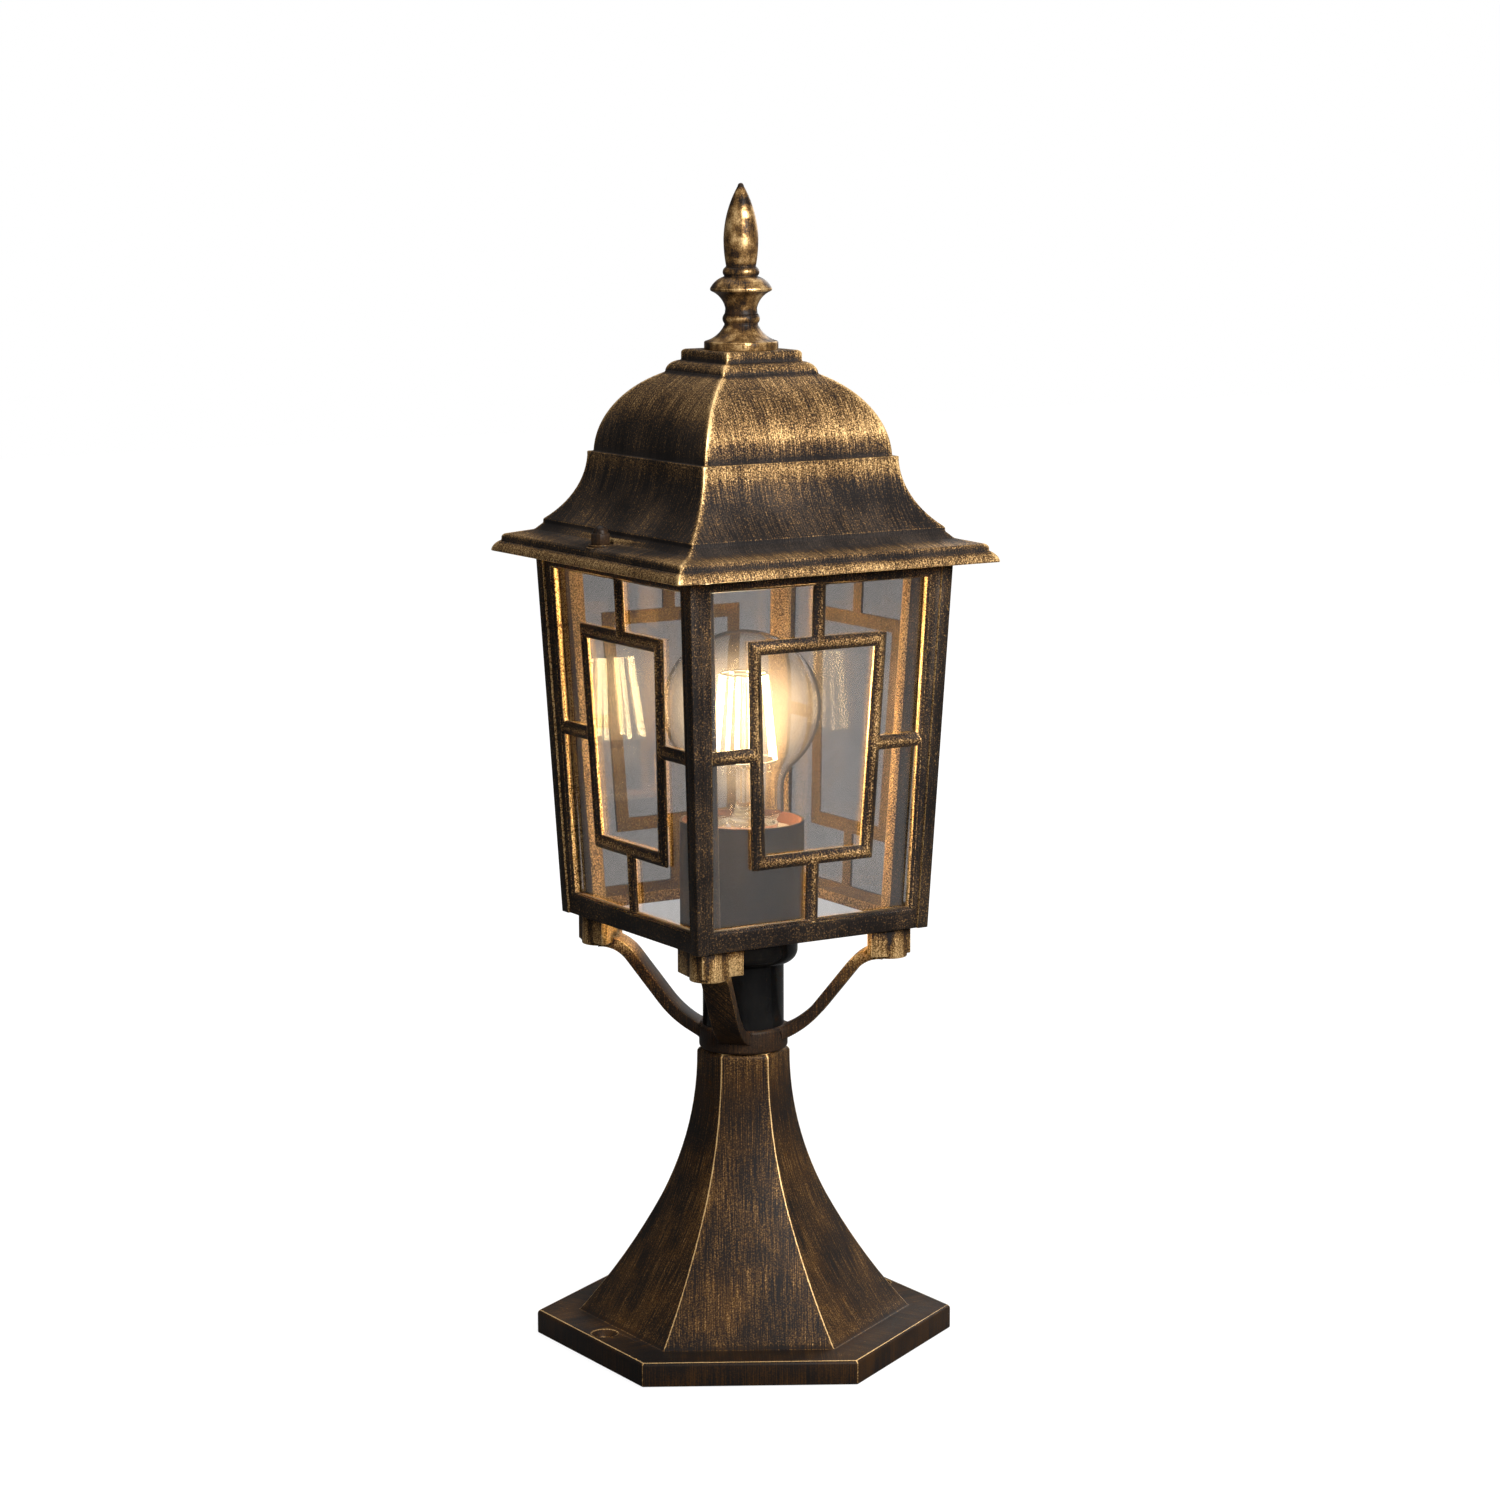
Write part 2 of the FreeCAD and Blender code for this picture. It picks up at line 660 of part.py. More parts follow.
def make_bars(body):
    """The ridged rectangle of one face and its four links to the frame."""
    top = f"({FACE_LENGTH} - ring_drop)"
    frame_low, frame_high = "(cage_bottom_half - stile_bottom)", "(cage_top_half - stile_top)"
    ring_low, ring_high = f"({frame_low} - ring_bottom_inset)", f"({frame_high} - ring_top_inset)"
    bar_back = "(cage_wall - bar_back_inset)"
    crest = "(bar_width - bar_ridge) / 2"

    def ring(inset):
        return trapezoid(f"{ring_low} - ({inset})", f"ring_rise + ({inset})",
                         f"{ring_high} - ({inset})", f"{top} - ({inset})")

    def ridge(name, low, high, kind="Additive"):
        foot = outline(face_sketch(body, f"{name}Foot", "bar_side"), low)
        return loft(body, foot, outline(face_sketch(body, f"{name}Crest", "bar_front"), high), kind)

    def link(low_x, low_y, high_x, high_y, upright):
        shrink_x, shrink_y = (crest, "0") if upright else ("0", crest)
        return (box_corners(low_x, low_y, high_x, high_y),
                box_corners(f"{low_x} + {shrink_x}", f"{low_y} + {shrink_y}",
                            f"{high_x} - {shrink_x}", f"{high_y} - {shrink_y}"))

    half_bar = "bar_width / 2"
    link_low, link_high = f"(link_rise - {half_bar})", f"(link_rise + {half_bar})"
    into_frame = "frame_bevel"
    opening_height = f"({FACE_LENGTH} - top_rail - bottom_rail)"
    frame_at_link = (f"({frame_low} + ({frame_high} - {frame_low})"
                     f" * (link_rise - bottom_rail) / {opening_height} + {into_frame})")
    ring_at_link = (f"({ring_low} + ({ring_high} - {ring_low})"
                    f" * (link_rise - ring_rise) / ({top} - ring_rise) - {half_bar})")
    links = {
        "LowerLink": link(f"-{half_bar}", f"bottom_rail - {into_frame}", half_bar,
                          f"ring_rise + {half_bar}", True),
        "UpperLink": link(f"-{half_bar}", f"{top} - {half_bar}", half_bar,
                          f"{FACE_LENGTH} - top_rail + {into_frame}", True),
        "LeftLink": link(f"-{frame_at_link}", link_low, f"-{ring_at_link}", link_high, False),
        "RightLink": link(ring_at_link, link_low, frame_at_link, link_high, False),
    }
    plan = face_sketch(body, "BarPlan", bar_back)
    outline(plan, ring("0"))
    outline(plan, ring("bar_width"))
    features = [
        pad(body, plan, f"{bar_back} - bar_side"),
        ridge("RingOuter", ring("0"), ring(crest)),
        ridge("RingInner", ring("bar_width"), ring(f"bar_width - {crest}"), "Subtractive"),
    ]
    for name, (low, high) in links.items():
        back = outline(face_sketch(body, f"{name}Back", bar_back), low)
        features.append(pad(body, back, f"{bar_back} - bar_side"))
        features.append(ridge(name, low, high))
    return features


def make_pillar(body):
    """The leaning screw pillar of one inner corner, on the lug that the bracket's pad meets."""
    lug_outer = "(cage_bottom_half - cage_wall + lug_bite)"
    lug_inner = f"({SCREW_PLACE} - pillar_diameter / 2)"
    lug = new_sketch(body, "Lug", "XY_Plane", CAGE_FLOOR)
    outline(lug, box_corners(f"-{lug_outer}", f"-{lug_outer}", f"-{lug_inner}", f"-{lug_inner}"))
    pillar_height = "(cage_height - pillar_top_gap)"
    lean = f"({CAGE_TAPER} * {pillar_height})"
    foot = new_sketch(body, "PillarFoot", "XY_Plane", CAGE_FLOOR)
    circle(foot, f"-{SCREW_PLACE}", f"-{SCREW_PLACE}", "pillar_diameter")
    head = new_sketch(body, "PillarHead", "XY_Plane", f"{CAGE_FLOOR} + {pillar_height}")
    circle(head, f"-({SCREW_PLACE} + {lean})", f"-({SCREW_PLACE} + {lean})", "pillar_diameter")
    pilot = new_sketch(body, "Pilot", "XY_Plane", CAGE_FLOOR)
    circle(pilot, f"-{SCREW_PLACE}", f"-{SCREW_PLACE}", "screw_diameter + seat_gap")
    pilot_depth = "screw_reach - pad_height - boss_drop + screw_counterbore + cut_margin"
    return [
        pad(body, lug, "lug_height"),
        loft(body, foot, head),
        pocket(body, pilot, pilot_depth, back=True),
    ]


def make_cage():
    body = new_body("Cage")
    wall_inner = ("cage_bottom_half - cage_wall", "cage_top_half - cage_wall")
    loft(body, square_sketch(body, "CageFoot", "cage_bottom_half", CAGE_FLOOR),
         square_sketch(body, "CageHead", "cage_top_half", ROOF_SEAT))
    loft(body, square_sketch(body, "HollowFoot", wall_inner[0], CAGE_FLOOR),
         square_sketch(body, "HollowHead", wall_inner[1], ROOF_SEAT), "Subtractive")
    features = make_frame(body) + make_bars(body) + make_pillar(body)
    doc.recompute()
    pattern = body.newObject("PartDesign::PolarPattern", "FourFaces")
    pattern.Originals = features
    pattern.Axis = (origin_item(body, "Z_Axis"), [""])
    pattern.Angle = 360
    pattern.Occurrences = len(QUARTER_TURNS)
    body.Tip = pattern
    lugs = new_sketch(body, "StudLugs", "XY_Plane", f"{ROOF_SEAT} - stud_lug_height")
    bores = new_sketch(body, "StudBores", "XY_Plane", f"{ROOF_SEAT} - stud_lug_height")
    for side in (-1, 1):
        outline(lugs, box_corners(f"{side} * (cage_top_half - cage_wall / 2)", "-stud_lug_width / 2",
                                  f"{side} * {LUG_END}", "stud_lug_width / 2"))
        circle(bores, f"{side} * {STUD_PLACE}", "0", "stud_diameter + seat_gap")
    pad(body, lugs, "stud_lug_height")
    body.Tip = pocket(body, bores, "stud_lug_height", back=True)
    return body


def make_pane(name, turn):
    """A flat pane behind the frame, on the corner lugs and in front of the pillars."""
    inset = "(cage_wall + pane_thickness + 3 * pane_gap)"
    low, high = "(lug_height + pane_gap)", f"({FACE_LENGTH} - pane_top_gap)"
    body = new_body(name)
    sketch = outline(face_sketch(body, f"{name}Plan", "cage_wall + pane_gap"), trapezoid(
        f"cage_bottom_half + {CAGE_TAPER} * {low} - {inset}", low,
        f"cage_bottom_half + {CAGE_TAPER} * {high} - {inset}", high))
    pad(body, sketch, "pane_thickness", back=True)
    return turned(body, turn)


def make_roof():
    """Two moulded prisms in common make the square roof, two smaller ones its hollow."""
    lip = f"({EAVE_HALF} - lip_inset)"
    flare_foot = "(cage_top_half - flare_foot_inset)"
    flare_low = "(nose_rise + nose_height + flare_foot_step)"
    dome_foot = "(ledge_half - ledge_step)"
    outer_half = both_sides([
        (EAVE_HALF, f"{ROOF_SEAT} - eave_drop"),
        (EAVE_HALF, f"{ROOF_SEAT} - eave_drop + eave_fascia", "lip_ovolo_radius"),
        (lip, above(ROOF_SEAT, "lip_rise")),
        (lip, above(ROOF_SEAT, "lip_rise + lip_height"), "lip_radius"),
        (f"{lip} - lip_radius", above(ROOF_SEAT, "lip_rise + lip_height + lip_radius")),
        ("cage_top_half + flange_inner_set", above(ROOF_SEAT, "flange_inner_rise")),
        ("cage_top_half - nose_inset", above(ROOF_SEAT, "nose_rise")),
        ("cage_top_half - nose_inset", above(ROOF_SEAT, "nose_rise + nose_height")),
        (flare_foot, above(ROOF_SEAT, flare_low), "-flare_radius"),
        ("ledge_half", above(ROOF_SEAT, "ledge_rise")),
        ("ledge_half", above(ROOF_SEAT, "ledge_rise + ledge_height")),
        (dome_foot, above(ROOF_SEAT, "ledge_rise + ledge_height"), "dome_radius"),
        ("ovolo_half", above(ROOF_SEAT, "dome_top_rise"), "ovolo_radius"),
        ("plate_half", above(ROOF_SEAT, PLATE_RISE)),
        ("plate_half", f"{FINIAL_SEAT} - plate_edge_radius", "plate_edge_radius"),
        ("plate_half - plate_edge_radius", FINIAL_SEAT),
    ])
    hollow_half = both_sides([
        (f"{EAVE_HALF} - eave_wall", f"{ROOF_SEAT} - eave_drop - cut_margin"),
        (f"{EAVE_HALF} - eave_wall", ROOF_SEAT),
        (f"{flare_foot} - roof_wall", ROOF_SEAT),
        (f"{flare_foot} - roof_wall", above(ROOF_SEAT, f"{flare_low} - roof_wall / 2"),
         "-(flare_radius + roof_wall)"),
        ("ledge_half - roof_wall", above(ROOF_SEAT, "ledge_rise - roof_wall / 2")),
        (f"{dome_foot} - roof_wall", above(ROOF_SEAT, "ledge_rise + ledge_height"),
         "dome_radius - roof_wall"),
        ("ovolo_half - roof_wall / 2", above(ROOF_SEAT, "dome_top_rise - roof_wall")),
        ("plate_half - roof_wall", above(ROOF_SEAT, "dome_top_rise - roof_wall")),
        ("plate_half - roof_wall", f"{FINIAL_SEAT} - roof_crown"),
    ])
    forms = []
    for name, half in (("RoofForm", outer_half), ("RoofHollow", hollow_half)):
        prisms = [turned(prism(f"{name}{turn}", half, f"4 * {EAVE_HALF}"), turn) for turn in (0, 90)]
        forms.append(common(f"{name}Common", *prisms))
    bosses = []
    holes = [cylinder("FinialStudWay", "finial_stud_diameter + 2 * bolt_clearance", FINIAL_SEAT)]
    for side in (-1, 1):
        where = f"{side} * {STUD_PLACE}"
        bosses.append(cylinder("RoofBoss", "washer_diameter + 2 * roof_boss_rim", "roof_boss_rise", where,
                               z=ROOF_SEAT))
        holes.append(cylinder("StudWay", "stud_diameter + 2 * bolt_clearance", "roof_boss_rise", where,
                              z=ROOF_SEAT))
        holes.append(cylinder("WasherSeat", "washer_diameter + 4 * bolt_clearance", FINIAL_SEAT, where,
                              z=above(ROOF_SEAT, "roof_boss_rise")))
    shell = cut("RoofShell", *forms)
    return cut("Roof", fuse("RoofBossed", shell, *bosses), *holes)


def make_roof_fixings():
    """Studs in the cage's lugs, washers on the roof's bosses and domed cap nuts, left and right."""
    washer_low = above(ROOF_SEAT, "roof_boss_rise")
    nut_low = above(washer_low, "washer_thickness")
    stud_rise = "roof_boss_rise + washer_thickness + nut_bore_depth - stud_tip_gap"
    studs, washers, nuts = [], [], []
    for side in (-1, 1):
        where = f"{side} * {STUD_PLACE}"
        studs.append(cylinder("RoofStud", "stud_diameter", f"stud_lug_height + {stud_rise}", where,
                              z=f"{ROOF_SEAT} - stud_lug_height"))
        washer = revolved("RoofWasher", ring_section("stud_diameter + 2 * bolt_clearance", "washer_diameter",
                                                     washer_low, nut_low))
        washers.append(place(washer, where))
        dome_start = above(nut_low, "nut_hex_height")
        dome = revolved("CapNutDome", [
            ("0", nut_low),
            ("nut_dome_diameter / 2", nut_low),
            ("nut_dome_diameter / 2", dome_start, "nut_dome_diameter / 2"),
            ("0", above(nut_low, "nut_hex_height + nut_dome_diameter / 2")),
        ])
        form = fuse("CapNutForm", hexagon("CapNutHex", "nut_flats", "nut_hex_height", nut_low), dome)
        bore = cylinder("CapNutBore", "stud_diameter + seat_gap", "nut_bore_depth", z=nut_low)
        nuts.append(place(cut("CapNut", form, bore), where))
    return group("RoofStuds", studs), group("RoofWashers", washers), group("RoofCapNuts", nuts)


def bead(height, bulge):
    """Radius of a bead's arc from its height and how far it stands out."""
    return f"((({height}) / 2) ^ 2 + ({bulge}) ^ 2) / (2 * ({bulge}))"


def make_finial():
    """A turned spire: foot, flared stem, bead, waist, disc, bead and pointed bud."""
    seat = FINIAL_SEAT
    bore = "(finial_stud_diameter / 2 + seat_gap)"
    bore_top = above(seat, "finial_stud_up + cut_margin")
    lower_bead = bead("lower_ring_height", "(lower_ring_diameter - finial_stem_diameter) / 2")
    upper_bead = bead("upper_ring_height", "(upper_ring_diameter - disc_top_diameter) / 2")
    return revolved("Finial", [
        (bore, seat),
        ("finial_foot_diameter / 2", seat),
        ("finial_foot_diameter / 2", above(seat, "finial_foot_height"), "-finial_stem_flare_radius"),
        ("finial_stem_diameter / 2", above(seat, "finial_stem_top_rise"), lower_bead),
        ("finial_stem_diameter / 2", above(seat, "finial_stem_top_rise + lower_ring_height")),
        ("finial_waist_diameter / 2", above(seat, "finial_waist_rise"), "-disc_cove_radius"),
        ("disc_diameter / 2", above(seat, "disc_rise")),
        ("disc_diameter / 2", above(seat, "disc_rise + disc_edge"), "disc_crown_radius"),
        ("disc_top_diameter / 2", above(seat, "disc_top_rise"), upper_bead),
        ("bud_foot_diameter / 2", above(seat, "disc_top_rise + upper_ring_height"), "bud_belly_radius"),
        ("bud_diameter / 2", above(seat, "bud_belly_rise"), "bud_taper_radius"),
        ("bud_nose_radius", f"{seat} + finial_height - bud_nose_radius", "bud_nose_radius"),
        ("0", above(seat, "finial_height")),
        ("0", bore_top),
        (bore, bore_top),
    ])


def make_finial_fixings():
    """A stud from the finial down through the roof's crown, with its washer and nut."""
    ceiling = f"({FINIAL_SEAT} - roof_crown)"
    stud_length = "finial_stud_up + roof_crown + finial_stud_down"
    stud = cylinder("FinialStud", "finial_stud_diameter", stud_length, z=f"{ceiling} - finial_stud_down")
    bore = "finial_stud_diameter + 2 * seat_gap"
    washer_low = f"({ceiling} - finial_washer_thickness)"
    washer = revolved("FinialWasher", ring_section(bore, "finial_washer_diameter", washer_low, ceiling))
    nut_low = f"({washer_low} - finial_nut_height)"
    nut = cut("FinialNut", hexagon("FinialNutHex", "finial_nut_flats", "finial_nut_height", nut_low),
              cylinder("FinialNutBore", bore, FINIAL_SEAT))
    return stud, washer, nut


def make_nipple_set():
    """The hollow rod that clamps neck, bracket and pedestal, with its washer and nut below."""
    ceiling = "(pedestal_height - pedestal_crown)"
    washer_low = f"({ceiling} - nipple_washer_thickness)"
    nut_low = f"({washer_low} - nipple_nut_height)"
    bore = "nipple_diameter + 2 * seat_gap"
    nipple = revolved("Nipple", ring_section("nipple_bore", "nipple_diameter", f"{ceiling} - nipple_below",
                                             above(HUB_TOP, "nipple_above")))
    washer = revolved("NippleWasher", ring_section(bore, "nipple_washer_diameter", washer_low, ceiling))
    nut = cut("NippleNut", hexagon("NippleNutHex", "nipple_nut_flats", "nipple_nut_height", nut_low),
              cylinder("NippleNutBore", bore, "pedestal_height"))
    return nipple, washer, nut


def make_neck():
    """The black body of the lampholder, a cup for the wires with a rounded shoulder."""
    bore = "(nipple_diameter / 2 + seat_gap)"
    shoulder = above(HUB_TOP, "neck_shoulder_rise")
    low_hollow = "(neck_diameter / 2 - neck_wall)"
    head = "(neck_diameter / 2 + neck_ledge + neck_shoulder_radius)"
    return revolved("Neck", [
        (bore, HUB_TOP),
        ("neck_diameter / 2", HUB_TOP),
        ("neck_diameter / 2", shoulder),
        (f"{head} - neck_shoulder_radius", shoulder, "neck_shoulder_radius"),
        (head, above(shoulder, "neck_shoulder_radius")),
        (head, SLEEVE_FLOOR),
        ("sleeve_hole / 2", SLEEVE_FLOOR),
        ("sleeve_hole / 2", above(shoulder, "neck_wall")),
        (low_hollow, above(shoulder, "neck_wall")),
        (low_hollow, above(HUB_TOP, "neck_floor")),
        (bore, above(HUB_TOP, "neck_floor")),
    ])


def make_sleeve():
    """A thin drawn cup with a hole in its floor, clamped between neck and core."""
    rim = above(SLEEVE_FLOOR, "sleeve_height")
    return revolved("Sleeve", [
        ("sleeve_hole / 2", SLEEVE_FLOOR),
        ("sleeve_diameter / 2", SLEEVE_FLOOR),
        ("sleeve_diameter / 2", rim),
        ("sleeve_diameter / 2 - sleeve_wall", rim),
        ("sleeve_diameter / 2 - sleeve_wall", CORE_FLOOR),
        ("sleeve_hole / 2", CORE_FLOOR),
    ])


def make_core():
    """The ceramic socket body: a cup for the thread shell, with a foot down into the neck."""
    cup = "(shell_diameter / 2 + seat_gap)"
    form = revolved("CoreForm", [
        ("0", CORE_FOOT),
        ("sleeve_hole / 2 - core_foot_gap", CORE_FOOT),
        ("sleeve_hole / 2 - core_foot_gap", CORE_FLOOR),
        ("core_diameter / 2", CORE_FLOOR),
        ("core_diameter / 2", above(CORE_FLOOR, "core_height")),
        (cup, above(CORE_FLOOR, "core_height")),
        (cup, SOCKET_FLOOR),
        ("0", SOCKET_FLOOR),
    ])
    ways = [cylinder("RivetWay", "rivet_diameter + 2 * seat_gap", CORE_FLOOR, f"{side} * rivet_offset",
                     z=CORE_FOOT) for side in (-1, 1)]
    return cut("Core", form, *ways)


def make_thread_shell():
    """The brass shell that takes the lamp's cap, with a tab on the socket's floor for its rivet."""
    rim = above(SOCKET_FLOOR, "shell_height")
    ring = revolved("ShellRing", ring_section("shell_diameter - 2 * shell_wall", "shell_diameter",
                                              SOCKET_FLOOR, rim))
    tab = doc.addObject("Part::Box", "ShellTab")
    tab_length = "(shell_diameter - shell_wall) / 2 - contact_tip - contact_apart"
    bind(tab, Length=tab_length, Width="shell_tab_width", Height="contact_thickness")
    place(tab, "-(shell_diameter - shell_wall) / 2", "-shell_tab_width / 2", SOCKET_FLOOR)
    way = cylinder("ShellRivetWay", "rivet_diameter + 2 * seat_gap", "2 * contact_thickness", "-rivet_offset",
                   z=SOCKET_FLOOR)
    return cut("ThreadShell", fuse("ShellForm", ring, tab), way)


def make_centre_contact():
    """A sprung brass strip, riveted at one end and raised under the lamp's bottom contact."""
    top = above(SOCKET_FLOOR, "contact_thickness")
    strip = prism("ContactStrip", [
        ("contact_bend + contact_thickness / 2", SOCKET_FLOOR),
        ("rivet_offset + contact_end", SOCKET_FLOOR),
        ("rivet_offset + contact_end", top),
        ("contact_bend + contact_thickness", top),
        ("contact_bend - contact_ramp + contact_thickness / 2", BULB_TIP),
        ("-contact_tip", BULB_TIP),
        ("-contact_tip", f"{BULB_TIP} - contact_thickness"),
        ("contact_bend - contact_ramp", f"{BULB_TIP} - contact_thickness"),
    ], "contact_width")
    way = cylinder("ContactRivetWay", "rivet_diameter + 2 * seat_gap", "2 * contact_thickness",
                   "rivet_offset", z=SOCKET_FLOOR)
    return cut("CentreContact", strip, way)


def make_rivets():
    """Two rivets from the contacts down through the core into the terminal blocks."""
    head = above(SOCKET_FLOOR, "contact_thickness")
    tip = f"({CORE_FOOT} - rivet_bite)"
    rivets = []
    for side in (-1, 1):
        rivet = revolved("ContactRivet", [
            ("0", tip),
            ("rivet_diameter / 2", tip),
            ("rivet_diameter / 2", head),
            ("rivet_head_diameter / 2", head),
            ("rivet_head_diameter / 2", above(head, "rivet_head_height")),
            ("0", above(head, "rivet_head_height")),
        ])
        rivets.append(place(rivet, f"{side} * rivet_offset"))
    return group("ContactRivets", rivets)


def make_terminals():
    """Two brass blocks under the core, each with a wire hole from below and a clamping screw."""
    low = f"({CORE_FOOT} - terminal_height)"
    screw_level = above(low, "terminal_screw_rise")
    blocks, screws = [], []
    for side in (-1, 1):
        centre = f"{side} * rivet_offset"
        block = doc.addObject("Part::Box", "TerminalBlock")
        bind(block, Length="terminal_width", Width="terminal_depth", Height="terminal_height")
        place(block, f"{centre} - terminal_width / 2", "-terminal_depth / 2", low)
        rivet_way = cylinder("TerminalRivetWay", "rivet_diameter + 2 * seat_gap", "rivet_bite", centre,
                             z=f"{CORE_FOOT} - rivet_bite")
        wire_way = cylinder("WireWay", "wire_hole", "wire_hole_depth", centre, z=low)
        names = ("ScrewShank", "ScrewHead", "ScrewHole")
        shank, head, screw_way = [doc.addObject("Part::Cylinder", name) for name in names]
        face = f"{side} * (rivet_offset + terminal_width / 2)"
        bind(shank, Radius="terminal_screw_diameter / 2", Height="terminal_width / 2 - wire_hole / 2")
        bind(head, Radius="terminal_head_diameter / 2", Height="terminal_head_height")
        bind(screw_way, Radius="terminal_screw_diameter / 2 + seat_gap", Height="terminal_width / 2")
        for item, way_in in ((shank, -side), (head, side), (screw_way, -side)):
            item.Placement.Rotation = FreeCAD.Rotation(FreeCAD.Vector(0, 1, 0), 90 * way_in)
            place(item, face, z=screw_level)
        blocks.append(cut("Terminal", block, rivet_way, wire_way, screw_way))
        screws.append(fuse("TerminalScrew", shank, head))
    return group("TerminalBlocks", blocks), group("TerminalScrews", screws)


def make_bulb_glass():
    """The blown envelope: a ball, a fillet to the neck and a throat down into the cap."""
    centre = above(BULB_TIP, "bulb_centre_rise")
    reach = "(bulb_radius + bulb_neck_fillet)"
    side = "(bulb_neck_diameter / 2 + bulb_neck_fillet)"
    fall = f"sqrt({reach} ^ 2 - {side} ^ 2)"

    def meeting(radius):
        return f"({radius}) * {side} / {reach}", f"{centre} - ({radius}) * {fall} / {reach}"

    seal = BULB_SEAL
    neck = "(bulb_neck_diameter / 2)"
    throat = above(BULB_TIP, "bulb_throat_rise")
    seal_top = above(BULB_TIP, "bulb_seal_rise + bulb_seal_height")
    inner_ball = "(bulb_radius - bulb_wall)"
    inner_fillet = "(bulb_neck_fillet + bulb_wall)"
    return revolved("BulbGlass", [
        (f"{seal} - bulb_wall", above(BULB_TIP, "bulb_seal_rise")),
        (seal, above(BULB_TIP, "bulb_seal_rise")),
        (seal, seal_top),
        (neck, throat),
        (neck, f"{centre} - {fall}", "-bulb_neck_fillet"),
        (*meeting("bulb_radius"), "bulb_radius"),
        ("0", f"{centre} + bulb_radius"),
        ("0", f"{centre} + {inner_ball}", f"-{inner_ball}"),
        (*meeting(inner_ball), inner_fillet),
        (f"{neck} - bulb_wall", f"{centre} - {fall}"),
        (f"{neck} - bulb_wall", throat),
        (f"{seal} - bulb_wall", seal_top),
    ])


def make_bulb_cap_set():
    """The lamp's screw cap, the black insulator under it and the bottom contact."""
    insulator_low = above(BULB_TIP, "bulb_contact_height")
    cap_low = above(insulator_low, "insulator_height")
    cap_high = above(cap_low, "bulb_cap_height")
    bore = f"({BULB_CAP} / 2 - bulb_cap_wall)"
    insulator_top = f"({BULB_CAP} / 2 - insulator_inset)"
    contact = revolved("BulbContact", ring_section("0", "bulb_contact_diameter", BULB_TIP, insulator_low))
    insulator = revolved("BulbInsulator", [
        ("0", insulator_low),
        ("insulator_tip_diameter / 2", insulator_low),
        (insulator_top, cap_low),
        ("0", cap_low),
    ])
    cap = revolved("BulbCap", [
        (f"{insulator_top} - bulb_cap_lip", cap_low),
        (f"{BULB_CAP} / 2", cap_low),
        (f"{BULB_CAP} / 2", cap_high),
        (bore, cap_high),
        (bore, above(cap_low, "bulb_cap_wall")),
        (f"{insulator_top} - bulb_cap_lip", above(cap_low, "bulb_cap_wall")),
    ])
    return contact, insulator, cap


def make_bulb_stem():
    """The glass foot in the lamp's throat and the rod that carries the filaments."""
    foot = above(BULB_TIP, "bulb_seal_rise")
    flare = f"({BULB_SEAL} - bulb_wall - seat_gap)"
    rod = "(bulb_stem_rod_diameter / 2)"
    return revolved("BulbStem", [
        ("0", foot),
        (flare, foot),
        (flare, above(foot, "bulb_stem_foot_height"), "-bulb_stem_bend_radius"),
        (rod, above(foot, "bulb_stem_bend_height")),
        (rod, above(foot, "bulb_stem_height")),
        ("0", above(foot, "bulb_stem_height")),
    ])


def leaning_rod(name, diameter, low, high):
    """A round rod between two (x, y, z) ends, its end faces level."""
    body = new_body(name)
    ends = []
    for label, (x, y, z) in (("Low", low), ("High", high)):
        ends.append(circle(new_sketch(body, f"{name}{label}", "XY_Plane", z), x, y, diameter))
    loft(body, *ends)
    return body


def make_filaments():
    """Lit rods in a cone, wider at the bottom, between the two wire rings."""
    gap = "(lead_diameter / 2 + seat_gap)"
    count = round(value("filament_count"))
    rods = []
    for index in range(count):
        turn = math.radians(360 * index / count)
        across, along = round(math.cos(turn), 6), round(math.sin(turn), 6)
        low, high = [
            (f"{spread} * ({across})", f"{spread} * ({along})", level) for spread, level in (
                ("filament_bottom_spread", f"{FILAMENT_LOW} + {gap}"),
                ("filament_top_spread", f"{FILAMENT_HIGH} - {gap}"))
        ]
        rods.append(leaning_rod("Filament", "filament_diameter", low, high))
    return group("Filaments", rods)


def make_leads():
    """Two wire rings for the filaments' ends, spokes and a wire post on the stem."""
    post_low = above(BULB_TIP, "bulb_seal_rise + bulb_stem_height")
    wires = [cylinder("LeadPost", "2 * lead_diameter", f"{FILAMENT_HIGH} - {post_low}", z=post_low)]
    for level, spread in ((FILAMENT_LOW, "filament_bottom_spread"), (FILAMENT_HIGH, "filament_top_spread")):
        ring = doc.addObject("Part::Torus", "LeadRing")
        bind(ring, Radius1=spread, Radius2="lead_diameter / 2")
        wires.append(place(ring, z=level))
        for turn in (0, 90):
            spoke = doc.addObject("Part::Box", "LeadSpoke")
            bind(spoke, Length=f"2 * {spread}", Width="lead_diameter", Height="lead_diameter / 2")
            spoke.Placement.Rotation = FreeCAD.Rotation(Z_AXIS, turn)
            if turn:
                place(spoke, "lead_diameter / 2", f"-{spread}", f"{level} - lead_diameter / 4")
            else:
                place(spoke, f"-{spread}", "-lead_diameter / 2", f"{level} - lead_diameter / 4")
            wires.append(spoke)
    return fuse("Leads", *wires)


def write_parts(parts):
    """Checks the whole document, then writes every piece under its own name."""
    doc.recompute()
    for item in doc.Objects:
        if "Invalid" in item.State or "Error" in item.State:
            raise RuntimeError(f"{item.Label} failed: {item.State}")
    for name, item in parts.items():
        item.Label = name
        if item.Shape.isNull() or not item.Shape.isValid() or not item.Shape.Solids:
            raise RuntimeError(f"{name} has no valid solid")
    os.makedirs("parts", exist_ok=True)
    for name, item in parts.items():
        item.Shape.exportStep(f"parts/{name}.step")


